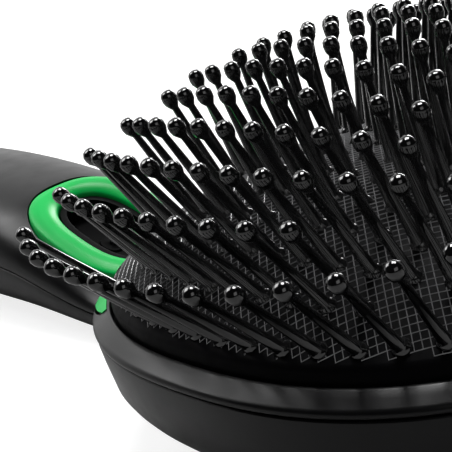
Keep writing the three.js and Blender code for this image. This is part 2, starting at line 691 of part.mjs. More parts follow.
function cell(side) {
  const front = side > 0 ? frontPlateX - PART_GAP : backPlateX + PART_GAP;
  const way = side > 0 ? -1 : 1;
  const at = (x) => [x, side * cellY, cellZ];
  const body = bar(at(front + way * CELL_NUB_LENGTH), at(front + way * CELL_LENGTH), CELL_DIAMETER, 20);
  return body.add(bar(at(front), at(front + (way * CELL_LENGTH) / 2), CELL_NUB_DIAMETER, 12));
}

function batteryTray() {
  const innerHalf = trayHalfWidth - TRAY_WALL;
  let tray = block([trayBackX, -trayHalfWidth, trayBottom], [trayFrontX, trayHalfWidth, trayTop]);
  tray = tray.subtract(block([trayBackX + TRAY_WALL, -innerHalf, 0],
    [trayFrontX - TRAY_WALL, innerHalf, trayRoof]));
  for (const side of [1, -1]) {
    const half = contactHalfWidth + PART_GAP;
    const low = [frontPlateX - PART_GAP, side * cellY - half, 0];
    const high = [frontPlateX + CONTACT_THICKNESS + PART_GAP, side * cellY + half, trayTop + 1];
    tray = tray.subtract(block(low, high));
  }
  for (const share of [0.45, 0.85]) {
    const x = lerp(trayFrontX, trayBackX, share);
    const postTop = topAt(x) - WALL - 3 * PART_GAP;
    tray = tray.add(bar([x, 0, lerp(trayRoof, trayTop, 0.5)], [x, 0, postTop], TRAY_POST, 12));
  }
  return tray;
}

function frontContact(side) {
  const low = [frontPlateX, side * cellY - contactHalfWidth, cellZ - contactHalfWidth];
  const high = [frontPlateX + CONTACT_THICKNESS, side * cellY + contactHalfWidth, trayTop];
  return block(low, high);
}

function bridgeContact() {
  const reach = cellY + contactHalfWidth;
  return block([backPlateX - CONTACT_THICKNESS, -reach, cellZ - contactHalfWidth],
    [backPlateX, reach, cellZ + contactHalfWidth]);
}

// A conical spring of two open turns between a contact and the flat end of a cell.
function cellSpring(side) {
  const way = side > 0 ? 1 : -1;
  const start = side > 0 ? backPlateX + PART_GAP : frontPlateX - PART_GAP;
  const reach = SPRING_LENGTH - 2 * PART_GAP - SPRING_WIRE;
  const points = Array.from({ length: SPRING_TURNS * 8 + 1 }, (_, i) => {
    const t = i / (SPRING_TURNS * 8);
    const angle = t * SPRING_TURNS * Math.PI * 2;
    const radius = (lerp(1, SPRING_TAPER, t) * SPRING_DIAMETER) / 2;
    const x = start + way * (SPRING_WIRE / 2 + reach * t);
    return [x, side * cellY + radius * Math.cos(angle), cellZ + radius * Math.sin(angle)];
  });
  return wire(points, SPRING_WIRE, SPRING_TURNS * 8, 6);
}

// ---------------------------------------------------------------- board, module, switch and lamp
const boardBottom = trayTop + PART_GAP;
const boardTop = boardBottom + BOARD_THICKNESS;
const moduleBackX = trayFrontX + PART_GAP;
const moduleFrontX = moduleBackX + MODULE_LENGTH;
const boardBackX = moduleFrontX - BOARD_LENGTH;
const footTop = pocketFloor - WALL - PART_GAP;
const footBottom = footTop - FOOT_THICKNESS;
const switchTop = footBottom - PART_GAP;

function circuitBoard() {
  return block([boardBackX, -BOARD_WIDTH / 2, boardBottom], [moduleFrontX, BOARD_WIDTH / 2, boardTop]);
}

function ionModule() {
  const half = MODULE_WIDTH / 2;
  return block([moduleBackX, -half, WALL + 2 * PART_GAP],
    [moduleFrontX, half, boardBottom - PART_GAP]);
}

function switchBody() {
  const half = SWITCH_WIDTH / 2;
  return block([switchX - SWITCH_LENGTH / 2, -half, boardTop + PART_GAP],
    [switchX + SWITCH_LENGTH / 2, half, switchTop]);
}

// The button's stem passes through the slot, and its foot keeps it from lifting out.
function switchButton() {
  const capBottom = pocketFloor + PART_GAP;
  const half = BUTTON_WIDTH / 2;
  let button = block([buttonStartX - BUTTON_LENGTH / 2, -half, capBottom],
    [buttonStartX + BUTTON_LENGTH / 2, half, capBottom + BUTTON_HEIGHT]);
  button = button.add(block([buttonStartX - stemHalf, -stemHalf, footBottom],
    [buttonStartX + stemHalf, stemHalf, capBottom + BUTTON_HEIGHT / 2]));
  button = button.add(block([buttonStartX - stemHalf - FOOT_THICKNESS, -half, footBottom],
    [buttonStartX + stemHalf + FOOT_THICKNESS, half, footTop]));
  const top = capBottom + BUTTON_HEIGHT;
  for (const step of [-1.5, -0.5, 0.5, 1.5]) {
    const x = buttonStartX + (step * BUTTON_LENGTH) / 5;
    button = button.subtract(block([x - BUTTON_GROOVE / 2, -half - 1, top - BUTTON_GROOVE],
      [x + BUTTON_GROOVE / 2, half + 1, top + 1]));
  }
  return button;
}

function statusLamp() {
  return bar([lampX, 0, boardTop + PART_GAP], [lampX, 0, topAt(lampX)], LAMP_DIAMETER, 12);
}

// The lead runs from the module to the back of the needle.
function needleLead() {
  const tilt = new THREE.Vector3(Math.sin(rampTilt), 0, Math.cos(rampTilt));
  const end = outletCentre.clone().addScaledVector(tilt, -OUTLET_DEPTH - HOLDER_LENGTH - PART_GAP);
  const bend = end.clone().addScaledVector(tilt, -2 * LEAD_DIAMETER);
  const points = [[moduleFrontX + PART_GAP, 0, LEAD_HEIGHT],
    [moduleFrontX + 5 * LEAD_DIAMETER, 0, LEAD_HEIGHT], bend.toArray(), end.toArray()];
  return wire(points, LEAD_DIAMETER, 10, 6);
}

// ---------------------------------------------------------------- screws
// A slotted pan-head screw; the head rises from its seat along the given way, up or down.
function screw(x, y, seat, way, shankEnd) {
  const crown = seat + way * SCREW_HEAD_HEIGHT;
  const head = bar([x, y, seat], [x, y, crown], SCREW_HEAD_DIAMETER, 12);
  const shank = bar([x, y, seat + (way * SCREW_HEAD_HEIGHT) / 2], [x, y, shankEnd], SCREW_DIAMETER, 10);
  const slotHeights = [crown - (way * SCREW_HEAD_HEIGHT) / 2, crown + way].sort((a, b) => a - b);
  const slot = block([x - SCREW_HEAD_DIAMETER, y - SCREW_SLOT / 2, slotHeights[0]],
    [x + SCREW_HEAD_DIAMETER, y + SCREW_SLOT / 2, slotHeights[1]]);
  return head.add(shank).subtract(slot);
}

const housingScrew = ([x, y]) => screw(x, y, sinkTop - PART_GAP, -1, pilotTop(x) - PART_GAP);
const plateScrew = ([x, y]) => screw(x, y, plateTop + PART_GAP, 1, plateScrewEnd);

// ---------------------------------------------------------------- assembly
const brush = new THREE.Group();
brush.position.x = overallLength / 2 - headHalfLength;

function place(name, solid, finish) {
  const mesh = new THREE.Mesh(geometryOf(solid), new THREE.MeshStandardMaterial(finish));
  mesh.name = name;
  brush.add(mesh);
}

place('back_shell', backShell(), satinBlack);
place('front_shell', frontShell(), satinBlack);
place('battery_door', batteryDoor(), satinBlack);
place('cushion_skirt', cushionSkirt(), rubberBlack);
for (let index = 0; index < sliceCount; index += 1) {
  place(`pin_pad_${index + 1}`, pinPad(index), glossBlack);
}
place('cushion_plate', cushionPlate(), darkPlastic);
place('outlet_bezel', outletBezel(), accentGreen);
place('outlet_cup', outletCup(), glossBlack);
place('emitter_needle', emitterNeedle(), steel);
place('needle_holder', needleHolder(), darkPlastic);
place('needle_lead', needleLead(), leadRed);
place('accent_strip_left', accentStrip(1, 0), accentGreen);
place('accent_strip_right', accentStrip(-1, 0), accentGreen);
place('ion_module', ionModule(), darkPlastic);
place('circuit_board', circuitBoard(), boardGreen);
place('switch_body', switchBody(), darkPlastic);
place('switch_button', switchButton(), accentGreen);
place('status_lamp', statusLamp(), lampClear);
place('battery_tray', batteryTray(), darkPlastic);
place('battery_1', cell(1), cellSleeve);
place('battery_2', cell(-1), cellSleeve);
place('front_contact_1', frontContact(1), steel);
place('front_contact_2', frontContact(-1), steel);
place('bridge_contact', bridgeContact(), steel);
place('battery_spring_1', cellSpring(1), steel);
place('battery_spring_2', cellSpring(-1), steel);
bossPlaces.forEach((spot, index) => place(`housing_screw_${index + 1}`, housingScrew(spot), steel));
platePlaces.forEach((spot, index) => place(`plate_screw_${index + 1}`, plateScrew(spot), steel));

export default brush;
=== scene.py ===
"""Paddle brush with an ion outlet: the dressed scene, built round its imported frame.

Sizes in the classes are millimetres in the head's own frame: +X from the handle to the tip,
+Z the way the pins point, and the head's middle at the origin. Meshes are made in metres in
the part's frame, which lies SHIFT_X behind the head's.
"""

import logging
import math
from dataclasses import dataclass, field
from enum import Enum
from typing import Callable, Sequence

import bmesh
import bpy
import numpy as np
from mathutils import Matrix, Vector


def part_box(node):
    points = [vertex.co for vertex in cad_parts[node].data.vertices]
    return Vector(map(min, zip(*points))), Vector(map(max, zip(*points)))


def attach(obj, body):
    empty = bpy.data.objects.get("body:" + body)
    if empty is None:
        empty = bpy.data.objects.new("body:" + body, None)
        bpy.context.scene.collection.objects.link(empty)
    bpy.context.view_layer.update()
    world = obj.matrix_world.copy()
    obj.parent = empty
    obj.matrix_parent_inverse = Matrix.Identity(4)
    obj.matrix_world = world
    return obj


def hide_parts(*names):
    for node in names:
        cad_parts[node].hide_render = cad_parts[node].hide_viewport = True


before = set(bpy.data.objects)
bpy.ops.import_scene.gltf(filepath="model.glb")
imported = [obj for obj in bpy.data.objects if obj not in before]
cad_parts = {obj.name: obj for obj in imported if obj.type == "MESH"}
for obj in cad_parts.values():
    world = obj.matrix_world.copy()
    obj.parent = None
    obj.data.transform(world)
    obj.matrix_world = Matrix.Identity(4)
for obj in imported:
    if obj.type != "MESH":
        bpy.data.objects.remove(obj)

LOG = logging.getLogger("paddle_brush")
MM = 0.001
SHIFT_X = 75.0
PICTURE_SIDE = 452
WHITE = (1.0, 1.0, 1.0, 1.0)
UPWARDS = Vector((0.0, 0.0, 1.0))

Piece = bpy.types.Object
Socket = bpy.types.NodeSocket
Pair = tuple[float, float]
Point = tuple[float, float, float]
Stage = tuple[float, float, float]


class Body(Enum):
    """The rigid bodies that pieces ride on."""

    HOUSING = "housing"
    SLIDER = "switch_slider"
    COVER = "battery_cover"


class Half(Enum):
    """The two halves of the housing's skin."""

    UPPER = 1
    LOWER = -1


class Way(Enum):
    """How a tool changes a piece."""

    JOIN = "UNION"
    CUT = "DIFFERENCE"


# ------------------------------------------------------------------ bench: the modelling steps
class Bench:
    """The modelling steps that the pieces share, each a few Blender operators."""

    LEVEL = 1e-8
    MARGIN = 1.001

    @staticmethod
    def clear() -> None:
        """Leave edit mode and deselect everything."""
        if bpy.context.object and bpy.context.object.mode != "OBJECT":
            bpy.ops.object.mode_set(mode="OBJECT")
        bpy.ops.object.select_all(action="DESELECT")

    @staticmethod
    def take(piece: Piece) -> Piece:
        """Select one piece alone and make it active.

        Args:
            piece: The object to work on.

        Returns:
            The same object.
        """
        Bench.clear()
        piece.select_set(True)
        bpy.context.view_layer.objects.active = piece
        return piece

    @staticmethod
    def named(name: str) -> Piece:
        """Name the primitive that was just added.

        Args:
            name: The piece's name.

        Returns:
            The new object.
        """
        piece = bpy.context.object
        piece.name = name
        piece.data.name = name
        return piece

    @staticmethod
    def edit(piece: Piece, everything: bool = True) -> None:
        """Open a piece in edit mode.

        Args:
            piece: The object to edit.
            everything: Whether all of it is selected.
        """
        Bench.take(piece)
        bpy.ops.object.mode_set(mode="EDIT")
        bpy.ops.mesh.select_all(action="SELECT" if everything else "DESELECT")

    @staticmethod
    def close(piece: Piece, merge: float = 0.002) -> Piece:
        """Merge doubled points, turn the faces outwards and leave edit mode.

        Args:
            piece: The object to finish.
            merge: The merging distance in millimetres.

        Returns:
            The same object.
        """
        Bench.edit(piece)
        bpy.ops.mesh.remove_doubles(threshold=merge * MM)
        bpy.ops.mesh.normals_make_consistent(inside=False)
        mesh = bmesh.from_edit_mesh(piece.data)
        if all(edge.is_manifold for edge in mesh.edges) and mesh.calc_volume(signed=True) < 0:
            bpy.ops.mesh.flip_normals()
        bpy.ops.object.mode_set(mode="OBJECT")
        return piece

    @staticmethod
    def settle(piece: Piece) -> Piece:
        """Put the object's place, turn and scale into its mesh.

        Args:
            piece: The object to settle.

        Returns:
            The same object.
        """
        Bench.take(piece)
        bpy.ops.object.transform_apply(location=True, rotation=True, scale=True)
        return piece

    @staticmethod
    def modify(piece: Piece, kind: str, **settings: object) -> Piece:
        """Add a modifier and apply it.

        Args:
            piece: The object to modify.
            kind: The modifier's type.
            **settings: The modifier's own settings.

        Returns:
            The same object.
        """
        Bench.take(piece)
        modifier = piece.modifiers.new(kind.title(), kind)
        for key, value in settings.items():
            setattr(modifier, key, value)
        bpy.ops.object.modifier_apply(modifier=modifier.name)
        return piece

    @staticmethod
    def combine(piece: Piece, tool: Piece, way: Way) -> None:
        """Join a tool to a piece or cut it out, and remove the tool.

        Args:
            piece: The object that stays.
            tool: The object that joins or cuts.
            way: Which of the two.
        """
        Bench.modify(piece, "BOOLEAN", operation=way.value, object=tool, solver="MANIFOLD")
        bpy.data.objects.remove(tool)

    @staticmethod
    def smooth(piece: Piece, angle: float = 30.0) -> Piece:
        """Shade a piece smooth up to an angle between its faces.

        Args:
            piece: The object to shade.
            angle: The sharpest angle, in degrees, that is still smoothed.

        Returns:
            The same object.
        """
        Bench.take(piece)
        bpy.ops.object.shade_smooth_by_angle(angle=math.radians(angle))
        return piece

    @staticmethod
    def join(pieces: Sequence[Piece], name: str) -> Piece:
        """Join several objects into one.

        Args:
            pieces: The objects to join; the first one stays.
            name: The joined piece's name.

        Returns:
            The joined object.
        """
        Bench.clear()
        for piece in pieces:
            piece.select_set(True)
        bpy.context.view_layer.objects.active = pieces[0]
        bpy.ops.object.join()
        return Bench.named(name)

    @staticmethod
    def oval_points(half_length: float, half_width: float, roundness: float, count: int) -> np.ndarray:
        """Points of an oval between an ellipse and a rectangle.

        Args:
            half_length: Half its length.
            half_width: Half its width.
            roundness: Its exponent, 2 for an ellipse.
            count: How many points.

        Returns:
            An array of count rows with x and y.
        """
        angle = np.arange(count) / count * 2 * math.pi
        cosine, sine = np.cos(angle), np.sin(angle)
        x = half_length * np.sign(cosine) * np.abs(cosine) ** (2 / roundness)
        y = half_width * np.sign(sine) * np.abs(sine) ** (2 / roundness)
        return np.stack([x, y], axis=1)

    @staticmethod
    def drawn_in(half_length: float, half_width: float, profile: Sequence[Pair]) -> list[Stage]:
        """Turn a profile of insets and heights into the rings of an oval."""
        return [(half_length - inset, half_width - inset, z) for inset, z in profile]

    @staticmethod
    def turned(name: str, stages: Sequence[Stage], roundness: float = 2.0, count: int = 96,
               looped: bool = False, tips: tuple[bool, bool] = (False, False)) -> Piece:
        """Grow a piece from a circle, drawn up ring by ring.

        Args:
            name: The piece's name.
            stages: Half length, half width and height of each ring.
            roundness: The rings' exponent, 2 for an ellipse.
            count: How many points a ring has.
            looped: Whether the last ring joins the first, as on a rim.
            tips: Whether the first and the last ring close to a point instead of a flat face.

        Returns:
            The new closed object, at the origin of its own frame.
        """
        Bench.clear()
        bpy.ops.mesh.primitive_circle_add(vertices=count, radius=MM, fill_type="NOTHING")
        piece = Bench.named(name)
        start = stages[0]
        outline = Bench.oval_points(start[0], start[1], roundness, count)
        for vertex, (x, y) in zip(piece.data.vertices, outline):
            vertex.co = (x * MM, y * MM, start[2] * MM)
        Bench.edit(piece)
        for low, high in zip(stages, stages[1:]):
            rise = (0.0, 0.0, (high[2] - low[2]) * MM)
            bpy.ops.mesh.extrude_region_move(TRANSFORM_OT_translate={"value": rise})
            grow = (high[0] / low[0], high[1] / low[1], 1.0)
            bpy.ops.transform.resize(value=grow, center_override=(0.0, 0.0, high[2] * MM))
        if looped:
            bpy.ops.mesh.select_all(action="DESELECT")
            bpy.ops.mesh.select_mode(type="EDGE")
            bpy.ops.mesh.select_non_manifold()
            bpy.ops.mesh.bridge_edge_loops()
        else:
            Bench.cap(piece, stages[-1], tips[1])
            Bench.cap(piece, stages[0], tips[0])
        bpy.ops.mesh.select_mode(type="VERT")
        return Bench.close(piece)

    @staticmethod
    def cap(piece: Piece, stage: Stage, tip: bool) -> None:
        """Close the open ring at one stage of a turned piece.

        Args:
            piece: The piece, in edit mode.
            stage: The stage whose ring is closed.
            tip: Whether it closes to a point.
        """
        mesh = bmesh.from_edit_mesh(piece.data)
        for vertex in mesh.verts:
            near = abs(vertex.co.z - stage[2] * MM) < Bench.LEVEL and vertex.is_boundary
            within = abs(vertex.co.x) <= stage[0] * MM * Bench.MARGIN
            vertex.select = near and within
        mesh.select_flush(True)
        bmesh.update_edit_mesh(piece.data)
        if tip:
            bpy.ops.mesh.merge(type="CENTER")
        else:
            bpy.ops.mesh.edge_face_add()

    @staticmethod
    def wrapped(name: str, columns: int, rows: int,
                place: Callable[[float, float], Point]) -> Piece:
        """Lay a grid over a surface.

        Args:
            name: The piece's name.
            columns: Faces along the surface's first way.
            rows: Faces along its second way.
            place: Gives a point in millimetres for two shares from 0 to 1.

        Returns:
            The new open sheet.
        """
        Bench.clear()
        bpy.ops.mesh.primitive_grid_add(x_subdivisions=columns, y_subdivisions=rows, size=2.0)
        piece = Bench.named(name)
        for vertex in piece.data.vertices:
            x, y, z = place((vertex.co.x + 1) / 2, (vertex.co.y + 1) / 2)
            vertex.co = (x * MM, y * MM, z * MM)
        return Bench.close(piece, 0.01)

    @staticmethod
    def bar(start: Point, end: Point, diameter: float, sides: int) -> Piece:
        """Add a round bar between two points.

        Args:
            start: Middle of its first end, in millimetres.
            end: Middle of its other end.
            diameter: Its diameter.
            sides: How many sides it has.

        Returns:
            The new object, its place in its mesh.
        """
        first, last = Vector(start), Vector(end)
        along = last - first
        Bench.clear()
        bpy.ops.mesh.primitive_cylinder_add(vertices=sides, radius=diameter / 2 * MM,
                                            depth=along.length * MM,
                                            location=(first + last) / 2 * MM)
        piece = Bench.named("bar")
        piece.rotation_mode = "QUATERNION"
        piece.rotation_quaternion = UPWARDS.rotation_difference(along)
        return Bench.settle(piece)

    @staticmethod
    def upright(place: Pair, foot: float, top: float, diameter: float, sides: int) -> Piece:
        """Add an upright round bar at a place of the head's own frame, from its foot to its top."""
        x, y = place
        return Bench.bar((x + SHIFT_X, y, foot), (x + SHIFT_X, y, top), diameter, sides)

    @staticmethod
    def block(low: Point, high: Point, corner: float = 0.0, name: str = "block") -> Piece:
        """Add a box between two corners, with its upright edges rounded.

        Args:
            low: Its lowest corner, in millimetres.
            high: Its highest corner.
            corner: Radius of its upright edges.
            name: The object's name.

        Returns:
            The new object, its place in its mesh.
        """
        first, last = Vector(low), Vector(high)
        Bench.clear()
        bpy.ops.mesh.primitive_cube_add(size=1.0, location=(first + last) / 2 * MM)
        piece = Bench.named(name)
        piece.scale = (last - first) * MM
        Bench.settle(piece)
        if corner > 0:
            Bench.edit(piece, everything=False)
            bpy.ops.mesh.select_mode(type="EDGE")
            mesh = bmesh.from_edit_mesh(piece.data)
            for edge in mesh.edges:
                rise = abs(edge.verts[0].co.z - edge.verts[1].co.z)
                edge.select = rise > 0.5 * (last.z - first.z) * MM
            mesh.select_flush(True)
            bpy.ops.mesh.bevel(offset=corner * MM, segments=6, affect="EDGES")
            bpy.ops.object.mode_set(mode="OBJECT")
        return piece


# ------------------------------------------------------------------ finishes
class Wiring:
    """A node tree while it is being put together."""

    def __init__(self, tree: bpy.types.NodeTree) -> None:
        """Take a tree, and add the node that gives a surface's own coordinates."""
        self.tree = tree
        self.place = self.node("TexCoord")

    def feed(self, node: bpy.types.Node, key: int | str, source: object) -> None:
        """Feed one input of a node.

        Args:
            node: The node.
            key: The input's number or name.
            source: A value, or a socket to link.
        """
        if isinstance(source, Socket):
            self.tree.links.new(source, node.inputs[key])
        else:
            node.inputs[key].default_value = source

    def node(self, kind: str, **inputs: object) -> bpy.types.Node:
        """Add a node and feed its inputs.

        Args:
            kind: The node's type, after ShaderNode.
            **inputs: Values or sockets, named as the inputs with underscores for spaces.

        Returns:
            The new node.
        """
        node = self.tree.nodes.new(f"ShaderNode{kind}")
        for name, source in inputs.items():
            self.feed(node, name.replace("_", " "), source)
        return node

    def reckon(self, kind: str, operation: str, *sources: object) -> Socket:
        """Add a node that reckons with numbers or vectors.

        Args:
            kind: Math or VectorMath.
            operation: What it does.
            *sources: The values or sockets that it takes.

        Returns:
            The socket of its value.
        """
        node = self.node(kind)
        node.operation = operation
        for index, source in enumerate(sources):
            self.feed(node, index, source)
        return node.outputs["Value"]

    def seen(self) -> Socket:
        """Give 1 where the camera looks straight at a thing or through a clear one, and 0 elsewhere."""
        path = self.node("LightPath").outputs
        return self.reckon("Math", "MAXIMUM", path["Is Camera Ray"], path["Is Transmission Ray"])

    def spread(self, source: Socket, low: float, high: float) -> Socket:
        """Map a factor, from 0.3 to 0.7, on to a range of values.

        Args:
            source: The factor.
            low: The value at the low end.
            high: The value at the high end.

        Returns:
            The mapped socket.
        """
        node = self.node("MapRange", Value=source, From_Min=0.3, From_Max=0.7, To_Min=low, To_Max=high)
        return node.outputs["Result"]

    def tones(self, source: Socket, *stops: tuple[float, Point]) -> Socket:
        """Map a factor on to colours.

        Args:
            source: The factor.
            *stops: Places from 0 to 1 and their linear colours.

        Returns:
            The colour socket.
        """
        node = self.node("ValToRGB", Fac=source)
        ramp = node.color_ramp
        while len(ramp.elements) < len(stops):
            ramp.elements.new(0.5)
        for element, (at, colour) in zip(ramp.elements, stops):
            element.position = at
            element.color = (*colour, 1.0)
        return node.outputs["Color"]


class Recipe(Wiring):
    """A material's node tree while it is being put together."""

    def __init__(self, name: str) -> None:
        """Start a material of this name."""
        self.material = bpy.data.materials.new(name)
        self.material.use_nodes = True
        super().__init__(self.material.node_tree)

    def set(self, **inputs: object) -> None:
        """Feed the shader's inputs, named with underscores for spaces."""
        for name, source in inputs.items():
            self.feed(self.tree.nodes["Principled BSDF"], name.replace("_", " "), source)

    def noise(self, scale: float, detail: float = 2.0,
              stretch: Point = (1.0, 1.0, 1.0)) -> Socket:
        """Add noise on Object coordinates.

        Args:
            scale: Features in a metre.
            detail: How many finer layers it has.
            stretch: Scale along each axis.

        Returns:
            The noise's factor socket.
        """
        mapping = self.node("Mapping", Vector=self.place.outputs["Object"], Scale=stretch)
        texture = self.node("TexNoise", Vector=mapping.outputs["Vector"], Scale=scale, Detail=detail)
        return texture.outputs["Fac"]

    def relief(self, source: Socket, depth: float) -> bpy.types.Node:
        """Add a bump.

        Args:
            source: Its height.
            depth: Its depth in millimetres.

        Returns:
            The bump's node.
        """
        return self.node("Bump", Height=source, Distance=depth * MM, Strength=1.0)


def shade(colour: Point, share: float) -> Point:
    """Make a linear colour lighter or darker by a share."""
    return tuple(min(1.0, part * share) for part in colour)


@dataclass(frozen=True)
class Finish:
    """A finish: its name, its colour and the way that its shader is fed."""

    name: str
    colour: Point

    def feed(self, recipe: Recipe) -> None:
        """Feed the shader of a recipe in this finish's own way."""
        raise NotImplementedError

    def material(self) -> bpy.types.Material:
        """Make the material.

        Returns:
            The new material.
        """
        recipe = Recipe(self.name)
        self.feed(recipe)
        return recipe.material


@dataclass(frozen=True)
class Moulded(Finish):
    """A moulded plastic or rubber: a colour that varies a little, and a fine grain on a slow wave."""

    rough: float
    spread: float
    shine: float
    grain: float
    depth: float
    mottle: float

    def feed(self, recipe: Recipe) -> None:
        """Feed the shader.

        Args:
            recipe: The material's recipe.
        """
        broad = recipe.noise(self.mottle, 3.0)
        streaks = recipe.noise(self.mottle * 6, 4.0)
        wave = recipe.relief(recipe.noise(self.mottle * 2, 1.0), self.depth)
        grain = recipe.relief(recipe.noise(self.grain, 2.0), self.depth * 0.35)
        recipe.feed(grain, "Normal", wave.outputs["Normal"])
        recipe.set(
            Base_Color=recipe.tones(broad, (0.3, shade(self.colour, 0.8)), (0.55, self.colour),
                                    (0.8, shade(self.colour, 1.25))),
            Roughness=recipe.spread(streaks, self.rough - self.spread, self.rough + self.spread),
            Normal=grain.outputs["Normal"],
            Specular_IOR_Level=self.shine,
        )


@dataclass(frozen=True)
class Brushed(Finish):
    """A plated or drawn metal, with fine lines along one way."""

    rough: float
    stretch: Point = (1.0, 12.0, 12.0)

    def feed(self, recipe: Recipe) -> None:
        """Feed the shader.

        Args:
            recipe: The material's recipe.
        """
        lines = recipe.noise(900.0, 3.0, self.stretch)
        recipe.set(
            Base_Color=recipe.tones(lines, (0.25, shade(self.colour, 0.75)), (0.75, self.colour)),
            Roughness=recipe.spread(lines, self.rough - 0.08, self.rough + 0.08),
            Normal=recipe.relief(lines, 0.01).outputs["Normal"],
            Metallic=1.0,
        )


@dataclass(frozen=True)
class CircuitMask(Finish):
    """The solder mask of a circuit board, with its plated pads showing as small squares."""

    pads: Point
    pitch: float = 1.27

    def feed(self, recipe: Recipe) -> None:
        """Feed the shader.

        Args:
            recipe: The material's recipe.
        """
        squares = recipe.node("TexVoronoi", Vector=recipe.place.outputs["Object"],
                              Scale=1 / (self.pitch * MM), Randomness=0.0)
        squares.distance = "CHEBYCHEV"
        recipe.set(
            Base_Color=recipe.tones(squares.outputs["Distance"], (0.16, self.pads), (0.19, self.colour),
                                    (0.6, shade(self.colour, 0.7))),
            Roughness=recipe.spread(recipe.noise(400.0), 0.3, 0.45),
            Normal=recipe.relief(recipe.noise(1500.0), 0.01).outputs["Normal"],
        )


@dataclass(frozen=True)
class LampLens(Finish):
    """The milky lens of an unlit status lamp."""

    def feed(self, recipe: Recipe) -> None:
        """Feed the shader.

        Args:
            recipe: The material's recipe.
        """
        cloud = recipe.noise(900.0, 2.0)
        recipe.set(
            Base_Color=recipe.tones(cloud, (0.3, shade(self.colour, 0.85)), (0.7, self.colour)),
            Roughness=recipe.spread(cloud, 0.12, 0.2),
            Transmission_Weight=0.35,
            IOR=1.49,
        )


@dataclass
class Finishes:
    """All the finishes of the brush, each made once."""

    housing: Finish = Moulded("satin_housing", (0.003, 0.003, 0.0034),
                              rough=0.32, spread=0.04, shine=0.28, grain=3200.0, depth=0.006, mottle=40.0)
    pins: Finish = Moulded("polished_nylon", (0.0015, 0.0015, 0.0018),
                           rough=0.05, spread=0.02, shine=1.0, grain=1800.0, depth=0.002, mottle=120.0)
    skin: Finish = Moulded("cushion_rubber", (0.0015, 0.0015, 0.002),
                           rough=0.5, spread=0.06, shine=0.04, grain=3800.0, depth=0.02, mottle=90.0)
    # The net is moulded in the cushion's own black rubber. Its pale grey is a painted highlight that stands
    # for the glints along its ridges.
    net: Finish = Moulded("cushion_net_painted_highlight", (0.24, 0.24, 0.245),
                          rough=0.2, spread=0.05, shine=1.0, grain=3800.0, depth=0.004, mottle=90.0)
    green: Finish = Moulded("accent_green", (0.0, 0.43, 0.075),
                            rough=0.36, spread=0.03, shine=0.2, grain=2200.0, depth=0.004, mottle=50.0)
    recess: Finish = Moulded("recess_gloss", (0.001, 0.001, 0.0012),
                             rough=0.4, spread=0.03, shine=0.04, grain=2200.0, depth=0.003, mottle=60.0)
    inner: Finish = Moulded("inner_plastic", (0.016, 0.016, 0.018),
                            rough=0.55, spread=0.08, shine=0.4, grain=1500.0, depth=0.03, mottle=80.0)
    sleeve: Finish = Moulded("cell_sleeve", (0.03, 0.035, 0.042),
                             rough=0.32, spread=0.05, shine=0.5, grain=900.0, depth=0.01, mottle=70.0)
    lead: Finish = Moulded("lead_sleeve", (0.32, 0.012, 0.012),
                           rough=0.45, spread=0.06, shine=0.4, grain=2600.0, depth=0.01, mottle=200.0)
    steel: Finish = Brushed("bright_steel", (0.62, 0.63, 0.65), rough=0.26)
    board: Finish = CircuitMask("circuit_mask", (0.012, 0.1, 0.035), pads=(0.6, 0.45, 0.2))
    lens: Finish = LampLens("lamp_lens", (0.72, 0.8, 0.72))
    made: dict[str, bpy.types.Material] = field(default_factory=dict)

    def dress(self, piece: Piece, finish: Finish) -> None:
        """Give a piece one finish all over, made the first time that it is asked for.

        Args:
            piece: The piece.
            finish: Its finish.
        """
        if finish.name not in self.made:
            self.made[finish.name] = finish.material()
        piece.data.materials.clear()
        piece.data.materials.append(self.made[finish.name])


FINISHES = Finishes()


def mount(piece: Piece, body: Body, slot: str, finish: Finish, *nodes: str) -> None:
    """Finish a piece, set it on its body and let it stand for its CAD nodes.

    Args:
        piece: The finished piece.
        body: The body that it rides on.
        slot: The record's material slot; not used.
        finish: Its finish.
        *nodes: The CAD nodes that it replaces.
    """
    FINISHES.dress(piece, finish)
    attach(piece, body.value)
    if nodes:
        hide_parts(*nodes)
    LOG.info("%s: %d faces on %s", piece.name, len(piece.data.polygons), body.value)


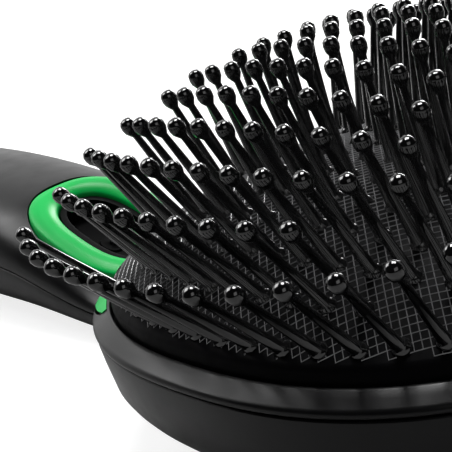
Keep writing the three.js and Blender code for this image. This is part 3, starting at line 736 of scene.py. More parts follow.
# ------------------------------------------------------------------ the housing's form
@dataclass
class Form:
    """The housing's plan, side view and sections."""

    half_length: float = 47.0
    half_width: float = 44.0
    roundness: float = 2.35
    seam_head: float = 19.8
    rim_top: float = 22.7
    butt_x: float = -197.0
    butt_round: float = 15.0
    butt_power: float = 2.4
    bulge: float = 0.8
    sole: float = 0.3
    gap: float = 0.3
    wall: float = 2.0
    merge_power: int = 6
    turn_start: float = 0.85
    turn_length: float = 16.2
    back_rounds: Pair = (2.7, 2.5)
    front_rounds: Pair = (6.0, 2.3)
    samples: int = 6001
    widths: tuple[Pair, ...] = ((-28.2, 16.0), (-62.0, 16.0), (-100.0, 18.0), (-143.65, 18.0),
                                (-197.0, 15.5))
    tops: tuple[Pair, ...] = ((-47.0, 22.7), (-62.0, 9.6), (-81.0, 16.8), (-100.0, 23.0), (-143.65, 26.6),
                              (-197.0, 24.0))
    seams: tuple[Pair, ...] = ((-43.24, 19.8), (-62.0, 6.0), (-100.0, 12.0), (-197.0, 12.0))

    @staticmethod
    def through(pairs: Sequence[Pair], x: float) -> float:
        """Follow a smooth curve through pairs whose x falls.

        Args:
            pairs: The curve's places and values.
            x: Where to read it.

        Returns:
            Its value there.
        """
        last = len(pairs) - 1
        if x >= pairs[0][0]:
            return pairs[0][1]
        if x <= pairs[last][0]:
            return pairs[last][1]
        index = next(i for i, pair in enumerate(pairs) if x > pair[0]) - 1

        def slope(k: int) -> float:
            """Give the curve's slope at one pair."""
            if k in (0, last):
                return 0.0
            return (pairs[k + 1][1] - pairs[k - 1][1]) / (pairs[k + 1][0] - pairs[k - 1][0])

        span = pairs[index + 1][0] - pairs[index][0]
        t = (x - pairs[index][0]) / span
        start = (1 + 2 * t) * (1 - t) ** 2 * pairs[index][1] + t * (1 - t) ** 2 * span * slope(index)
        return start + t * t * (3 - 2 * t) * pairs[index + 1][1] + t * t * (t - 1) * span * slope(index + 1)

    @staticmethod
    def ease(t: float) -> float:
        """Rise smoothly from 0 to 1."""
        t = min(1.0, max(0.0, t))
        return t * t * (3 - 2 * t)

    def seam(self, x: float) -> float:
        """Give the height of the parting line."""
        return self.through(self.seams, x)

    def top(self, x: float) -> float:
        """Give the height of the crown line."""
        return self.through(self.tops, x)

    def butt_fade(self, x: float, inset: float = 0.0) -> float:
        """Give the share of the section that is left in the rounded butt."""
        past = max(0.0, (self.butt_x + self.butt_round - x) / (self.butt_round - inset))
        return max(0.0, 1 - past ** self.butt_power) ** (1 / self.butt_power)

    def half(self, x: float, with_head: bool = True, inset: float = 0.0) -> float:
        """Give the half width of the plan.

        Args:
            x: Where along the brush.
            with_head: Whether the head's oval counts, or the neck and handle alone.
            inset: How far inside the outer skin.

        Returns:
            Half the width there.
        """
        reach = min(1.0, abs(x) / (self.half_length - inset))
        oval = (1 - reach ** self.roundness) ** (1 / self.roundness) if with_head else 0.0
        head = (self.half_width - inset) * oval
        rise = self.ease(x / self.widths[0][0]) if x < 0 else 0.0
        grip = (self.through(self.widths, x) - inset) * rise
        power = self.merge_power
        return (head ** power + grip ** power) ** (1 / power) * self.butt_fade(x, inset)

    def blend(self, x: float, ends: Pair) -> float:
        """Go from a value of the head's to one of the handle's."""
        share = self.ease((-x - self.half_length * self.turn_start) / self.turn_length)
        return ends[0] + (ends[1] - ends[0]) * share

    @staticmethod
    def bow(angle: float, wide: float, rise: float, roundness: float) -> Pair:
        """Give y and the height over the seam on a rounded section, 0 and pi at its seams."""
        y = wide * math.copysign(abs(math.cos(angle)) ** (2 / roundness), math.cos(angle))
        return y, rise * max(0.0, math.sin(angle)) ** (2 / roundness)

    def below(self, x: float, angle: float, inset: float = 0.0) -> Pair:
        """Give a point of the lower skin.

        Args:
            x: Where along the brush.
            angle: 0 at one seam, pi / 2 at the back's middle, pi at the other seam.
            inset: How far inside the outer skin.

        Returns:
            Its y and z.
        """
        reach = min(1.0, abs(x) / (self.half_length - inset))
        tip = max(0.0, 1 - reach ** 3) ** (1 / 3) if x > 0 else 1.0
        drop = (self.seam(x) + self.bulge - inset) * self.butt_fade(x, inset) * tip
        y, fall = self.bow(angle, self.half(x, True, inset), drop, self.blend(x, self.back_rounds))
        z = self.seam(x) - fall - inset
        return y, 0.5 * (z + math.hypot(z, self.sole)) + inset

    def above(self, x: float, angle: float, inset: float = 0.0) -> Pair:
        """Give a point of the upper skin of the neck and handle.

        Args:
            x: Where along the brush.
            angle: 0 at one seam, pi / 2 at the crown, pi at the other seam.
            inset: How far inside the outer skin.

        Returns:
            Its y and z.
        """
        rise = (self.top(x) - self.seam(x) - inset) * self.butt_fade(x, inset)
        y, lift = self.bow(angle, self.half(x, False, inset), rise, self.blend(x, self.front_rounds))
        return y, self.seam(x) + lift

    def section(self, half: Half, x: float, angle: float, inset: float = 0.0) -> Pair:
        """Give a point of the lower or the upper skin."""
        skin = self.below if half is Half.LOWER else self.above
        return skin(x, angle, inset)

    def places(self, start: float, end: float, count: int, lower: bool, inset: float = 0.0) -> np.ndarray:
        """Space places evenly along the plan's outline.

        Args:
            start: The first place.
            end: The last place.
            count: How many spaces there are.
            lower: Whether the outline is the lower skin's, with the head.
            inset: How far inside the outer skin.

        Returns:
            count + 1 places.
        """
        fine = np.linspace(start, end, self.samples)
        halves = np.array([self.half(float(x), lower, inset) for x in fine])
        steps = np.hypot(np.diff(fine), np.diff(halves))
        along = np.concatenate([[0.0], np.cumsum(steps)])
        return np.interp(np.linspace(0, along[-1], count + 1), along, fine)


FORM = Form()


# ------------------------------------------------------------------ housing
@dataclass
class Housing:
    """The front shell, the back shell and the sliding battery door."""

    rim_width: float = 3.0
    rim_lip: float = 2.0
    rim_sides: int = 288
    edge: float = 0.45
    edge_steps: int = 4
    rows: int = 44
    front_columns: int = 150
    back_columns: int = 190
    door_columns: int = 90
    crease: float = 32.0
    neck_start: float = -43.8
    door_x: float = -128.2
    button_x: float = -138.0
    pocket: Point = (6.8, 3.5, 1.4)
    pocket_corner: float = 0.9
    slot: Pair = (3.5, 1.5)
    lamp_x: float = -126.2
    lamp_hole: float = 3.0
    cut_reach: float = 8.0
    past: float = 1.0
    roof: float = 1.2
    pilot: float = 2.7
    boss: float = 5.4
    boss_drop: float = 1.9
    collar: float = 7.4
    collar_drop: float = 2.3
    sink: float = 4.7
    sink_top: float = 4.6
    bosses: tuple = (((-58.0, 0.0), 1.8, 1.2), ((-104.0, 10.5), 4.4, 4.2), ((-104.0, -10.5), 4.4, 4.2))
    posts: tuple[Pair, ...] = ((25.85, 24.2), (25.85, -24.2), (-25.85, 24.2), (-25.85, -24.2))
    post_heights: Pair = (3.2, 15.4)
    grooves: int = 5
    groove: float = 1.1
    groove_half: float = 6.0
    groove_z: float = -0.05
    groove_pitch: float = 2.2
    groove_setback: float = 9.0

    def skin(self, name: str, half: Half, start: float, end: float, columns: int) -> Piece:
        """Make one half of the housing's wall: outer skin, rounded parting edges and inner skin.

        Args:
            name: The piece's name.
            half: Which half.
            start: Its first place.
            end: Its last place.
            columns: How many faces it has along the brush.

        Returns:
            The closed wall.
        """
        lower = half is Half.LOWER
        open_start = start < FORM.half_length
        open_end = end > FORM.butt_x
        outer = FORM.places(start, end, columns, lower)
        first = start if open_start else start - FORM.wall
        last = end if open_end else end + FORM.wall
        inner = list(FORM.places(first, last, columns - open_start - open_end, lower, FORM.wall))
        inner = [first] * open_start + inner + [last] * open_end
        around = 2 * self.rows + 2

        def place(u: float, v: float) -> Point:
            """Give a point of the wall for its two shares."""
            index = round(u * columns)
            row = round(v * around) % around
            if row <= self.rows:
                return self.outside(float(outer[index]), row, half)
            back = around - 1 - row
            if (index == 0 and open_start) or (index == columns and open_end):
                return self.outside(float(outer[index]), back, half)
            x = float(inner[index])
            y, z = FORM.section(half, x, math.pi * back / self.rows, FORM.wall)
            gap = half.value * FORM.gap / 2
            edge = FORM.seam(x) + gap
            return x + SHIFT_X, y, max(z, edge) if gap > 0 else min(z, edge)

        return Bench.wrapped(name, columns, around, place)

    def outside(self, x: float, row: int, half: Half) -> Point:
        """Give a point of the outer skin, drawn in near the seam to a rounded edge.

        Args:
            x: Where along the brush.
            row: Which row, from one seam to the other.
            half: Which half.

        Returns:
            The point.
        """
        lower = half is Half.LOWER
        y, z = FORM.section(half, x, math.pi * row / self.rows)
        turn = min(row, self.rows - row)
        if turn < self.edge_steps:
            bow = turn / self.edge_steps * math.pi / 2
            reach = math.pi * self.edge_steps / self.rows
            y_end, z_end = FORM.section(half, x, reach if row < self.rows / 2 else math.pi - reach)
            tip = min(1.0, (FORM.half_length - x) / 2) if lower else 1.0
            drawn = self.edge * FORM.butt_fade(x) * tip
            y_edge = math.copysign(max(0.0, FORM.half(x, lower) - drawn * (1 - math.sin(bow))), y_end)
            z_edge = FORM.seam(x) + half.value * (FORM.gap / 2 + drawn * (1 - math.cos(bow)))
            blend = (turn / self.edge_steps) ** 3
            y = y_edge * (1 - blend) + y_end * blend
            z = z_edge * (1 - blend) + z_end * blend
        return x + SHIFT_X, y, z

    def rim(self) -> Piece:
        """Make the head's rim, a band that slopes out to a ridge over the parting groove.

        Returns:
            The closed ring.
        """
        seat = FORM.seam_head + FORM.gap / 2
        lip = FORM.rim_top - self.rim_lip
        profile = [
            (FORM.wall, seat), (0.42, seat), (0.2, seat + 0.08), (0.06, seat + 0.25), (0.0, seat + 0.5),
            (0.06, seat + 0.82), (0.24, seat + 1.08), (0.5, seat + 1.24), (1.4, seat + 1.85),
            (2.3, seat + 2.4), (2.6, seat + 2.53), (2.82, seat + 2.5), (2.95, seat + 2.38),
            (self.rim_width, seat + 2.2), (self.rim_width, lip), (FORM.wall, lip),
        ]
        stages = Bench.drawn_in(FORM.half_length, FORM.half_width, profile)
        ring = Bench.turned("rim", stages, FORM.roundness, self.rim_sides, looped=True)
        ring.location.x = SHIFT_X * MM
        return Bench.settle(ring)

    @staticmethod
    def groove_for_strips(shell: Piece) -> None:
        """Cut the grooves that the two accent strips lie in."""
        for side in (1, -1):
            Bench.combine(shell, STRIPS.piece(side, FORM.gap, "strip_groove"), Way.CUT)

    def front_shell(self) -> None:
        """Make the front shell: rim, neck and handle, with their openings and bosses."""
        shell = self.skin("front_shell_skin", Half.UPPER, self.neck_start, FORM.butt_x, self.front_columns)
        Bench.combine(shell, self.rim(), Way.JOIN)
        for place, room, _ in self.bosses:
            foot = FORM.seam(place[0]) - self.boss_drop
            head = FORM.top(place[0]) - room
            Bench.combine(shell, Bench.upright(place, foot, head, self.boss, 24), Way.JOIN)
            pilot = Bench.upright(place, foot - self.past, head - self.roof, self.pilot, 16)
            Bench.combine(shell, pilot, Way.CUT)
        Bench.combine(shell, OUTLET.opening(), Way.CUT)
        for tool in self.switch_cuts():
            Bench.combine(shell, tool, Way.CUT)
        self.groove_for_strips(shell)
        mount(Bench.smooth(shell, self.crease), Body.HOUSING, "housing", FINISHES.housing, "front_shell")

    def switch_cuts(self) -> list[Piece]:
        """Make the tools that cut the switch's pocket, its slot and the lamp's hole.

        Returns:
            The tools.
        """
        half_x, half_y, depth = self.pocket
        slot_x, slot_y = self.slot
        x, floor = self.button_x + SHIFT_X, FORM.top(self.button_x) - depth
        low, high = floor - self.cut_reach, floor + self.cut_reach
        return [
            Bench.block((x - half_x, -half_y, floor), (x + half_x, half_y, high), self.pocket_corner),
            Bench.block((x - slot_x, -slot_y, low), (x + slot_x, slot_y, high)),
            Bench.upright((self.lamp_x, 0.0), low, high, self.lamp_hole, 32),
        ]

    def back_shell(self) -> None:
        """Make the back shell with its screw sinks, its collars and the plate's posts."""
        end = self.door_x + FORM.gap
        shell = self.skin("back_shell_skin", Half.LOWER, FORM.half_length, end, self.back_columns)
        for place, _, foot in self.bosses:
            top = FORM.seam(place[0]) - self.collar_drop
            Bench.combine(shell, Bench.upright(place, foot, top, self.collar, 32), Way.JOIN)
            Bench.combine(shell, Bench.upright(place, -self.past, self.sink_top, self.sink, 32), Way.CUT)
            Bench.combine(shell, Bench.upright(place, -self.past, top + self.past, self.pilot, 24), Way.CUT)
        foot, top = self.post_heights
        for place in self.posts:
            Bench.combine(shell, Bench.upright(place, foot, top, self.boss, 24), Way.JOIN)
            pilot = Bench.upright(place, foot + self.roof, top + self.past, self.pilot, 16)
            Bench.combine(shell, pilot, Way.CUT)
        self.groove_for_strips(shell)
        mount(Bench.smooth(shell, self.crease), Body.HOUSING, "housing", FINISHES.housing, "back_shell")

    def door(self) -> None:
        """Make the battery door with its finger grooves."""
        door = self.skin("battery_door_skin", Half.LOWER, self.door_x, FORM.butt_x, self.door_columns)
        for step in range(self.grooves):
            x = self.door_x - self.groove_setback - step * self.groove_pitch + SHIFT_X
            ends = [(x, side * self.groove_half, self.groove_z) for side in (-1, 1)]
            Bench.combine(door, Bench.bar(*ends, self.groove, 16), Way.CUT)
        mount(Bench.smooth(door, self.crease), Body.COVER, "housing", FINISHES.housing, "battery_door")

    def build(self) -> None:
        """Make the three pieces."""
        self.front_shell()
        self.back_shell()
        self.door()


# ------------------------------------------------------------------ accent strips
@dataclass
class Strips:
    """The two accent strips at the head's shoulders, from the parting line up over the rim's band.

    The band's profile is insets and heights, and facing is the way out of it, across and up.
    """

    start: float = -43.4
    end: float = -29.0
    drop: float = 1.2
    depth: float = 0.6
    proud: float = 0.1
    nudge: float = 0.1
    band: tuple[Pair, ...] = ((0.0, 20.45), (0.06, 20.77), (0.24, 21.03), (0.5, 21.19), (1.4, 21.8),
                              (2.3, 22.35), (2.6, 22.46))
    facing: tuple[Pair, ...] = ((1.0, 0.0), (0.96, 0.28), (0.83, 0.55), (0.7, 0.71), (0.56, 0.83),
                                (0.53, 0.85), (0.35, 0.94))
    rise: tuple[Pair, ...] = ((-37.0, 0.0), (-35.0, 2.4), (-31.0, 3.6), (-29.0, 4.5))

    def piece(self, side: int, growth: float, name: str) -> Piece:
        """Make a strip, or the tool that cuts its groove.

        Args:
            side: 1 on the left, -1 on the right.
            growth: How far it is grown all round.
            name: Its name.

        Returns:
            The closed piece.
        """
        proud = self.proud + growth

        def place(u: float, v: float) -> Point:
            """Give a point of the strip's outer face, up the wall and over the band."""
            x = self.start + (self.end - self.start) * u
            slope = (FORM.half(x + self.nudge) - FORM.half(x - self.nudge)) / (2 * self.nudge)
            length = math.hypot(slope, 1)
            path = np.array([(0.0, FORM.seam(x) - self.drop - growth), *self.band])
            turns = np.array([(1.0, 0.0), *self.facing])
            ways = np.concatenate([[0.0], np.cumsum(np.hypot(*np.diff(path, axis=0).T))])
            low = max(0.0, float(np.interp(x, *zip(*self.rise))) - growth / 2)
            at = low + (ways[-1] - low) * v
            inset, z = (float(np.interp(at, ways, path[:, axis])) for axis in (0, 1))
            out, up = (float(np.interp(at, ways, turns[:, axis])) * proud for axis in (0, 1))
            shift = (out - inset) / length
            return x - shift * slope + SHIFT_X, side * (FORM.half(x) + shift), z + up

        sheet = Bench.wrapped(name, 24, 16, place)
        outward = sum(p.normal.y * p.area for p in sheet.data.polygons) * side
        if outward < 0:
            Bench.edit(sheet)
            bpy.ops.mesh.flip_normals()
            bpy.ops.object.mode_set(mode="OBJECT")
        return Bench.modify(sheet, "SOLIDIFY", thickness=(self.depth + proud + growth) * MM, offset=-1.0)

    def build(self) -> None:
        """Make the two strips."""
        for side, name in ((1, "left"), (-1, "right")):
            strip = Bench.smooth(self.piece(side, 0.0, f"accent_strip_{name}_green"), 35)
            mount(strip, Body.HOUSING, "accent", FINISHES.green, f"accent_strip_{name}")


STRIPS = Strips()


# ------------------------------------------------------------------ ion outlet
@dataclass
class Outlet:
    """The green bezel on the ramp and the glossy cup behind the needle."""

    centre: Point = (-81.0, 0.0, 15.8)
    tilt: float = 19.424
    half_length: float = 19.0
    half_width: float = 12.7
    roundness: float = 2.6
    band: float = 5.4
    clearance: float = 0.3

    def set_down(self, piece: Piece) -> Piece:
        """Tilt a piece on to the ramp.

        Args:
            piece: A piece in the outlet's own frame.

        Returns:
            The same piece.
        """
        piece.rotation_euler = (0.0, math.radians(self.tilt), 0.0)
        piece.location = (Vector(self.centre) + Vector((SHIFT_X, 0.0, 0.0))) * MM
        return Bench.settle(piece)

    def ring(self, profile: Sequence[Pair]) -> list[Stage]:
        """Turn insets and heights into rings of the outlet's oval."""
        return Bench.drawn_in(self.half_length, self.half_width, profile)

    def opening(self) -> Piece:
        """Make the tool that cuts the outlet's opening.

        Returns:
            The tool.
        """
        stages = self.ring([(-self.clearance, -9), (-self.clearance, 22)])
        return self.set_down(Bench.turned("outlet_cut", stages, self.roundness))

    def bezel(self) -> None:
        """Make the bezel, a flat band with a low crown and a deep inner wall."""
        profile = [
            (self.band, -2.5), (0.0, -2.5), (0.0, 0.1), (0.12, 0.38), (0.4, 0.58), (1.0, 0.8), (1.5, 0.97),
            (1.9, 1.06), (2.3, 1.1), (3.0, 1.1), (3.4, 1.05), (3.8, 0.94), (4.3, 0.72), (4.8, 0.42),
            (5.15, 0.1), (5.32, -0.2), (self.band, -0.6),
        ]
        piece = Bench.turned("outlet_bezel_ring", self.ring(profile), self.roundness, 160, looped=True)
        bezel = Bench.smooth(self.set_down(piece), 40)
        mount(bezel, Body.HOUSING, "accent", FINISHES.green, "outlet_bezel")

    def cup(self) -> None:
        """Make the cup with its stepped floor and the needle's hole."""
        wall = self.ring([(5.7, -6.0), (5.7, -0.8), (5.8, -0.65), (6.0, -0.6), (6.8, -0.6), (7.0, -0.65),
                          (7.1, -0.8), (7.1, -3.9), (7.7, -4.6)])
        floor = [(3.0, 2.6, -4.6), (2.7, 2.3, -4.2), (1.2, 1.2, -4.2), (0.8, 0.8, -4.4), (0.8, 0.8, -6.0)]
        piece = Bench.turned("outlet_cup_gloss", wall + floor, self.roundness, 112, looped=True)
        cup = Bench.smooth(self.set_down(piece), 40)
        mount(cup, Body.HOUSING, "gloss_black", FINISHES.recess, "outlet_cup")

    def build(self) -> None:
        """Make the bezel and the cup."""
        self.bezel()
        self.cup()


OUTLET = Outlet()


# ------------------------------------------------------------------ cushion
@dataclass
class Cushion:
    """The rubber cushion: a crowned skin with a flange, and the raised net on it."""

    half_length: float = 43.7
    half_width: float = 40.7
    crown: float = 36.6
    crown_height: float = 12.3
    fullness: float = 2.6
    skin: float = 2.2
    base: float = 18.0
    flange: float = 1.0
    flange_top: float = 20.4
    net_cell: float = 0.97
    net_cover: float = 2.1
    net_turn: float = 2.0
    net_edge: float = 0.985
    net_wire: float = 0.22
    net_proud: float = 0.1

    def share(self, x: float, y: float) -> float:
        """Give how far a place is from the dome's middle, 1 at its edge."""
        total = abs(x / self.half_length) ** FORM.roundness + abs(y / self.half_width) ** FORM.roundness
        return total ** (1 / FORM.roundness)

    def height(self, share: float) -> float:
        """Give the dome's height at a share of the way to its edge."""
        return self.crown - self.crown_height * share ** self.fullness

    def rings(self, inset: float, lift: float, shares: Sequence[float]) -> list[Stage]:
        """Give rings of the dome, drawn in and lowered for its inner face."""
        return [((self.half_length - inset) * s, (self.half_width - inset) * s, self.height(s) + lift)
                for s in shares]

    def body(self) -> None:
        """Make the cushion's closed skin."""
        outer = self.rings(0.0, 0.0, [0.03] + [i / 30 for i in range(2, 30)] + [0.985, 0.995])
        wall = Bench.drawn_in(self.half_length, self.half_width, [
            (0.0, 23.9), (0.0, self.flange_top), (-self.flange, self.flange_top), (-self.flange, self.base),
            (self.skin, self.base), (self.skin, 22.4)])
        inner = self.rings(self.skin, -self.skin, [0.97, 0.9, 0.75, 0.55, 0.3, 0.05])
        piece = Bench.turned("cushion_dome", outer + wall + inner, FORM.roundness, 160, tips=(True, True))
        piece.location.x = SHIFT_X * MM
        Bench.smooth(Bench.settle(piece), 50)
        mount(piece, Body.HOUSING, "cushion", FINISHES.skin,
              "cushion_skirt", "pin_pad_1", "pin_pad_2", "pin_pad_3", "pin_pad_4")

    def net(self) -> None:
        """Make the fine raised net that follows the dome and ends in teeth before its edge."""
        across = math.ceil(self.net_cover * self.half_length / self.net_cell / 2) * 2
        Bench.clear()
        bpy.ops.mesh.primitive_grid_add(x_subdivisions=across, y_subdivisions=across, size=float(across))
        net = Bench.named("cushion_net_painted_highlight")
        turn = Matrix.Rotation(math.radians(self.net_turn), 4, "Z")
        spread = Matrix.Diagonal((self.net_cell, self.net_cell, 1.0, 1.0))
        net.data.transform(turn @ spread @ Matrix.Rotation(math.pi / 4, 4, "Z"))
        Bench.edit(net, everything=False)
        mesh = bmesh.from_edit_mesh(net.data)
        for vertex in mesh.verts:
            vertex.select = self.share(vertex.co.x, vertex.co.y) > self.net_edge
        mesh.select_flush(False)
        bpy.ops.mesh.delete(type="VERT")
        bpy.ops.object.mode_set(mode="OBJECT")
        for vertex in net.data.vertices:
            x, y, _ = vertex.co
            vertex.co = ((x + SHIFT_X) * MM, y * MM, (self.height(self.share(x, y)) + self.net_proud) * MM)
        Bench.modify(net, "WIREFRAME", thickness=self.net_wire * MM, offset=-1.0, use_even_offset=False,
                     use_boundary=True, use_replace=True)
        # The net is dressed in the pale grey that paints its glints: a painted highlight on black rubber.
        mount(Bench.smooth(net, 20), Body.HOUSING, "cushion", FINISHES.net)

    def build(self) -> None:
        """Make the cushion and its net."""
        self.body()
        self.net()


CUSHION = Cushion()


# ------------------------------------------------------------------ pins
@dataclass
class Pins:
    """The moulded pins: bowed rows on the dome, each pin leaning out from the middle.

    The profile is radii and heights, and per_pad is where the rows of each CAD pad end.
    """

    rows: int = 15
    pitch: float = 4.85
    nearest: float = 4.1
    row_pitch: float = 5.55
    end_margin: float = 2.0
    reach_to_neck: float = 24.0
    splay_across: float = 41.0
    splay_along: float = 7.0
    edge_across: float = 0.2
    edge_along: float = 0.5
    sides: int = 10
    step: float = 0.05
    row_fill: float = 0.97
    edge_power: int = 8
    profile: tuple = (
        (1.3, -0.6), (1.3, 0.15), (0.98, 0.55), (0.84, 0.75), (0.6, 9.0), (0.5, 14.6),
        (0.72, 15.0), (1.04, 15.6), (1.13, 16.25), (1.03, 16.9), (0.74, 17.27), (0.4, 17.4),
    )
    tip: float = 17.44
    per_pad: tuple = (4, 8, 12, 15)

    def pattern(self) -> Piece:
        """Make the one pin that all the others are copies of.

        Returns:
            The pin, upright at the origin.
        """
        stages = [(radius, radius, z) for radius, z in self.profile]
        stages.append((0.08, 0.08, self.tip))
        pin = Bench.turned("pin", stages, 2.0, self.sides, tips=(False, True))
        return Bench.smooth(pin, 60)

    def along_row(self, row: int) -> list[Pair]:
        """Space pins evenly along one row, which bows like the head's outline.

        Args:
            row: Which row, from 0.

        Returns:
            Their x and y.
        """
        straight = (row - (self.rows - 1) / 2) * self.row_pitch
        reach = CUSHION.half_length - self.end_margin
        places = np.arange(0.0, self.row_fill * reach, self.step)
        heights = straight * (1 - (places / reach) ** FORM.roundness) ** (1 / FORM.roundness)
        travelled = np.concatenate([[0.0], np.cumsum(np.hypot(self.step, np.diff(heights)))])
        found = []
        due = 0.0 if row % 2 == 0 else self.pitch / 2
        for x, y, way in zip(places, heights, travelled):
            if way >= due:
                due += self.pitch
                found.append((float(x), float(y)))
                if 0 < x < self.reach_to_neck:
                    found.append((-float(x), float(y)))
        return found

    def layout(self) -> dict[int, list[Pair]]:
        """Lay out all the rows, the outermost first, and leave off a pin that would crowd another.

        Returns:
            The places of each row's pins.
        """
        middle = (self.rows - 1) / 2
        rows: dict[int, list[Pair]] = {}
        for row in sorted(range(self.rows), key=lambda index: -abs(index - middle)):
            taken = [place for others in rows.values() for place in others]
            rows[row] = [place for place in self.along_row(row)
                         if all(math.dist(place, other) > self.nearest for other in taken)]
        return rows

    def direction(self, x: float, y: float) -> Vector:
        """Give the way that a pin points, the outermost ones leaning further."""
        edge = CUSHION.share(x, y) ** self.edge_power
        lean_x = math.tan(math.radians(self.splay_along)) + self.edge_along * edge
        lean_y = math.tan(math.radians(self.splay_across)) + self.edge_across * edge
        return Vector((lean_x * x / CUSHION.half_length, lean_y * y / CUSHION.half_width, 1.0)).normalized()

    def build(self) -> None:
        """Copy the pin to its places and join each row."""
        pattern = self.pattern()
        for row, places in sorted(self.layout().items()):
            copies = []
            for x, y in places:
                copy = bpy.data.objects.new("pin_copy", pattern.data.copy())
                bpy.context.scene.collection.objects.link(copy)
                turn = UPWARDS.rotation_difference(self.direction(x, y))
                root = Vector((x + SHIFT_X, y, CUSHION.height(CUSHION.share(x, y)))) * MM
                copy.data.transform(Matrix.Translation(root) @ turn.to_matrix().to_4x4())
                copies.append(copy)
            pad = next(i for i, end in enumerate(self.per_pad) if row < end) + 1
            joined = Bench.join(copies, f"pin_row_{row + 1:02d}")
            mount(joined, Body.HOUSING, "pins", FINISHES.pins, f"pin_pad_{pad}")
        bpy.data.objects.remove(pattern)


# ------------------------------------------------------------------ switch and lamp
@dataclass
class Switch:
    """The ridged slide button and the status lamp."""

    centre_x: float = -140.0
    length: float = 9.0
    width: float = 6.4
    cap: float = 2.2
    ridges: int = 5
    groove: float = 1.3
    groove_lift: float = 0.15
    softening: float = 0.16
    stem: float = 1.2
    foot: Pair = (2.2, 1.0)

    def button(self) -> None:
        """Make the button: a rounded cap with ridges, its stem and its foot."""
        low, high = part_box("switch_button")
        top, bottom = high.z / MM, low.z / MM
        x, half_x, half_y = self.centre_x + SHIFT_X, self.length / 2, self.width / 2
        cap = Bench.block((x - half_x, -half_y, top - self.cap), (x + half_x, half_y, top), 0.8,
                          "switch_button_cap")
        for step in range(self.ridges - 1):
            at = x + (step - (self.ridges - 2) / 2) * self.length / self.ridges
            ends = [(at, side * self.width, top + self.groove_lift) for side in (-1, 1)]
            groove = Bench.bar(*ends, self.groove, 24)
            Bench.combine(cap, groove, Way.CUT)
        Bench.modify(cap, "BEVEL", width=self.softening * MM, segments=3, limit_method="ANGLE",
                     angle_limit=math.radians(50), use_clamp_overlap=True)
        stem = Bench.block((x - self.stem, -self.stem, bottom + 0.5), (x + self.stem, self.stem, top - 1.2))
        Bench.combine(cap, stem, Way.JOIN)
        foot_x, thick = self.foot
        foot = Bench.block((x - foot_x, -half_y, bottom), (x + foot_x, half_y, bottom + thick))
        Bench.combine(cap, foot, Way.JOIN)
        mount(Bench.smooth(cap, 40), Body.SLIDER, "accent", FINISHES.green, "switch_button")

    def lamp(self) -> None:
        """Make the lamp's lens, with a softened top edge."""
        low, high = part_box("status_lamp")
        top = high.z / MM
        profile = [(1.2, low.z / MM), (1.2, top - 0.5), (1.14, top - 0.22), (0.9, top - 0.06),
                   (0.5, top - 0.01)]
        lens = Bench.turned("status_lamp_lens", [(radius, radius, z) for radius, z in profile], 2.0, 32)
        lens.location.x = (low.x + high.x) / 2
        Bench.smooth(Bench.settle(lens), 50)
        mount(lens, Body.HOUSING, "lamp", FINISHES.lens, "status_lamp")

    def build(self) -> None:
        """Make the button and the lens."""
        self.button()
        self.lamp()


# ------------------------------------------------------------------ what stays from the frame
@dataclass
class KeptParts:
    """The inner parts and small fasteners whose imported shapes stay: steel, where nothing else is named."""

    finishes: dict[str, Finish] = field(default_factory=lambda: {
        "cushion_plate": FINISHES.inner, "needle_holder": FINISHES.inner, "ion_module": FINISHES.inner,
        "switch_body": FINISHES.inner, "battery_tray": FINISHES.inner, "needle_lead": FINISHES.lead,
        "circuit_board": FINISHES.board, "battery_1": FINISHES.sleeve, "battery_2": FINISHES.sleeve,
    })

    def build(self) -> None:
        """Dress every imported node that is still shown."""
        for name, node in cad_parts.items():
            if node.hide_render:
                continue
            finish = self.finishes.get(name, FINISHES.steel)
            FINISHES.dress(node, finish)
            LOG.info("%s keeps its shape in %s", name, finish.name)


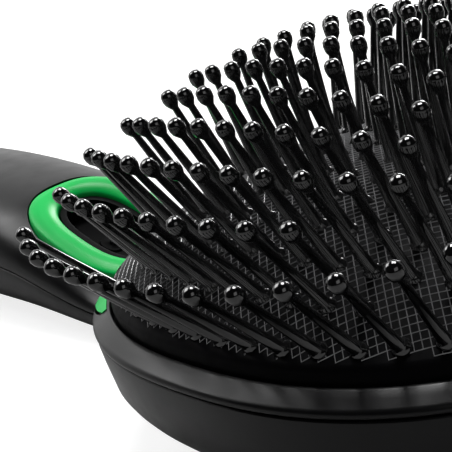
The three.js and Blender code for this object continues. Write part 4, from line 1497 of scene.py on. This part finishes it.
# ------------------------------------------------------------------ stage
@dataclass
class Studio:
    """The camera, the lamps, the pale floor and the white surround, in the part's frame.

    The focal length is in pixels of the picture, and the floor's own sizes are in metres.
    """

    eye: Point = (193.35, -113.39, 82.73)
    azimuth: float = 55.06
    elevation: float = 17.72
    roll: float = -14.32
    focal: float = 1226.5
    sensor: float = 36.0
    room: float = 0.015
    fill: float = 0.08
    glow: float = 0.82
    floor_side: float = 6.0
    floor_drop: float = 0.00003

    def back(self) -> Vector:
        """Give the way from the object to the camera."""
        azimuth, elevation = math.radians(self.azimuth), math.radians(self.elevation)
        return Vector((math.sin(azimuth) * math.cos(elevation), -math.cos(azimuth) * math.cos(elevation),
                       math.sin(elevation)))

    @staticmethod
    def hold(name: str, data: bpy.types.ID, place: Vector, turn: Matrix) -> Piece:
        """Set a camera or a lamp in its place.

        Args:
            name: Its name.
            data: Its data.
            place: Its place, in metres.
            turn: Its turn.

        Returns:
            The new object.
        """
        holder = bpy.data.objects.new(name, data)
        bpy.context.scene.collection.objects.link(holder)
        holder.matrix_world = Matrix.Translation(place) @ turn.to_4x4()
        return holder

    def camera(self) -> None:
        """Place the camera as the photograph was taken."""
        azimuth, roll = math.radians(self.azimuth), math.radians(self.roll)
        back = self.back()
        right = Vector((math.cos(azimuth), math.sin(azimuth), 0.0))
        up = back.cross(right)
        across = right * math.cos(roll) + up * math.sin(roll)
        upright = up * math.cos(roll) - right * math.sin(roll)
        data = bpy.data.cameras.new("camera")
        data.sensor_fit = "HORIZONTAL"
        data.sensor_width = self.sensor
        data.lens = self.focal / PICTURE_SIDE * self.sensor
        data.clip_start = 0.005
        data.clip_end = 20.0
        turn = Matrix((across, upright, back)).transposed()
        bpy.context.scene.camera = self.hold("camera", data, Vector(self.eye) * MM, turn)

    def lamp(self, name: str, at: Point, towards: Point, size: Pair, power: float) -> None:
        """Add a soft box.

        Args:
            name: The lamp's name.
            at: Its place, in metres.
            towards: What it points at.
            size: Its two sides, in metres.
            power: Its power in watts.
        """
        data = bpy.data.lights.new(name, "AREA")
        data.shape = "RECTANGLE"
        data.size, data.size_y = size
        data.energy = power
        way = Vector(towards) - Vector(at)
        self.hold(name, data, Vector(at), way.to_track_quat("-Z", "Y").to_matrix())

    def world(self) -> None:
        """Make the surround: a white sweep behind the object and a dim room on the camera's side."""
        world = bpy.data.worlds.new("surround")
        bpy.context.scene.world = world
        world.use_nodes = True
        world.node_tree.nodes.clear()
        wiring = Wiring(world.node_tree)
        facing = wiring.reckon("VectorMath", "DOT_PRODUCT", wiring.place.outputs["Generated"], -self.back())
        sweep = wiring.tones(facing, (0.1, (self.room,) * 3), (0.7, WHITE[:3]))
        path = wiring.node("LightPath").outputs
        shader = wiring.node("Background", Color=WHITE, Strength=self.fill)
        mirrored = wiring.reckon("Math", "MAXIMUM", path["Is Glossy Ray"], path["Is Transmission Ray"])
        for colour, rays in ((sweep, mirrored), (WHITE, path["Is Camera Ray"])):
            mixed = wiring.node("MixShader", Fac=rays)
            wiring.feed(mixed, 1, shader.outputs[0])
            wiring.feed(mixed, 2, wiring.node("Background", Color=colour).outputs[0])
            shader = mixed
        wiring.node("OutputWorld", Surface=shader.outputs[0])

    def floor(self) -> None:
        """Lay the pale floor, which the camera sees whiter further from the object."""
        Bench.clear()
        bpy.ops.mesh.primitive_plane_add(size=self.floor_side, location=(0.0, 0.0, -self.floor_drop))
        floor = Bench.settle(Bench.named("floor"))
        recipe = Recipe("pale_floor")
        away = recipe.reckon("VectorMath", "LENGTH", recipe.place.outputs["Object"])
        recipe.set(
            Base_Color=recipe.tones(recipe.noise(3.0), (0.2, (0.3,) * 3), (0.8, (0.33,) * 3)),
            Roughness=0.7,
            Specular_IOR_Level=0.2,
            Emission_Color=WHITE,
            Emission_Strength=recipe.reckon("Math", "MULTIPLY", recipe.seen(),
                                            recipe.spread(away, self.glow, 1.0)),
        )
        floor.data.materials.append(recipe.material)

    def build(self) -> None:
        """Set up the camera, the lamps, the floor and the surround."""
        self.camera()
        self.world()
        self.floor()
        self.lamp("overhead_box", (-0.05, 0.15, 0.75), (0.06, 0.0, 0.02), (0.36, 0.3), 5.9)
        self.lamp("rear_box", (-0.4, -0.17, 0.5), (0.08, -0.03, 0.02), (0.3, 0.3), 1.6)
        self.lamp("back_box", (-0.26, 0.6, 0.27), (0.09, 0.0, 0.03), (0.3, 0.3), 4.0)
        self.lamp("front_card", (0.5, -0.2, 0.3), (0.07, -0.02, 0.02), (0.35, 0.35), 0.3)
        bpy.context.scene.view_settings.view_transform = "Standard"


def main() -> None:
    """Build the brush piece by piece."""
    logging.basicConfig(level=logging.INFO, format="%(name)s: %(message)s")
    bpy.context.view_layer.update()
    Studio().build()
    LOG.info("studio is set")
    Housing().build()
    STRIPS.build()
    OUTLET.build()
    CUSHION.build()
    Pins().build()
    Switch().build()
    KeptParts().build()
    Bench.clear()


if __name__ == "__main__":
    main()
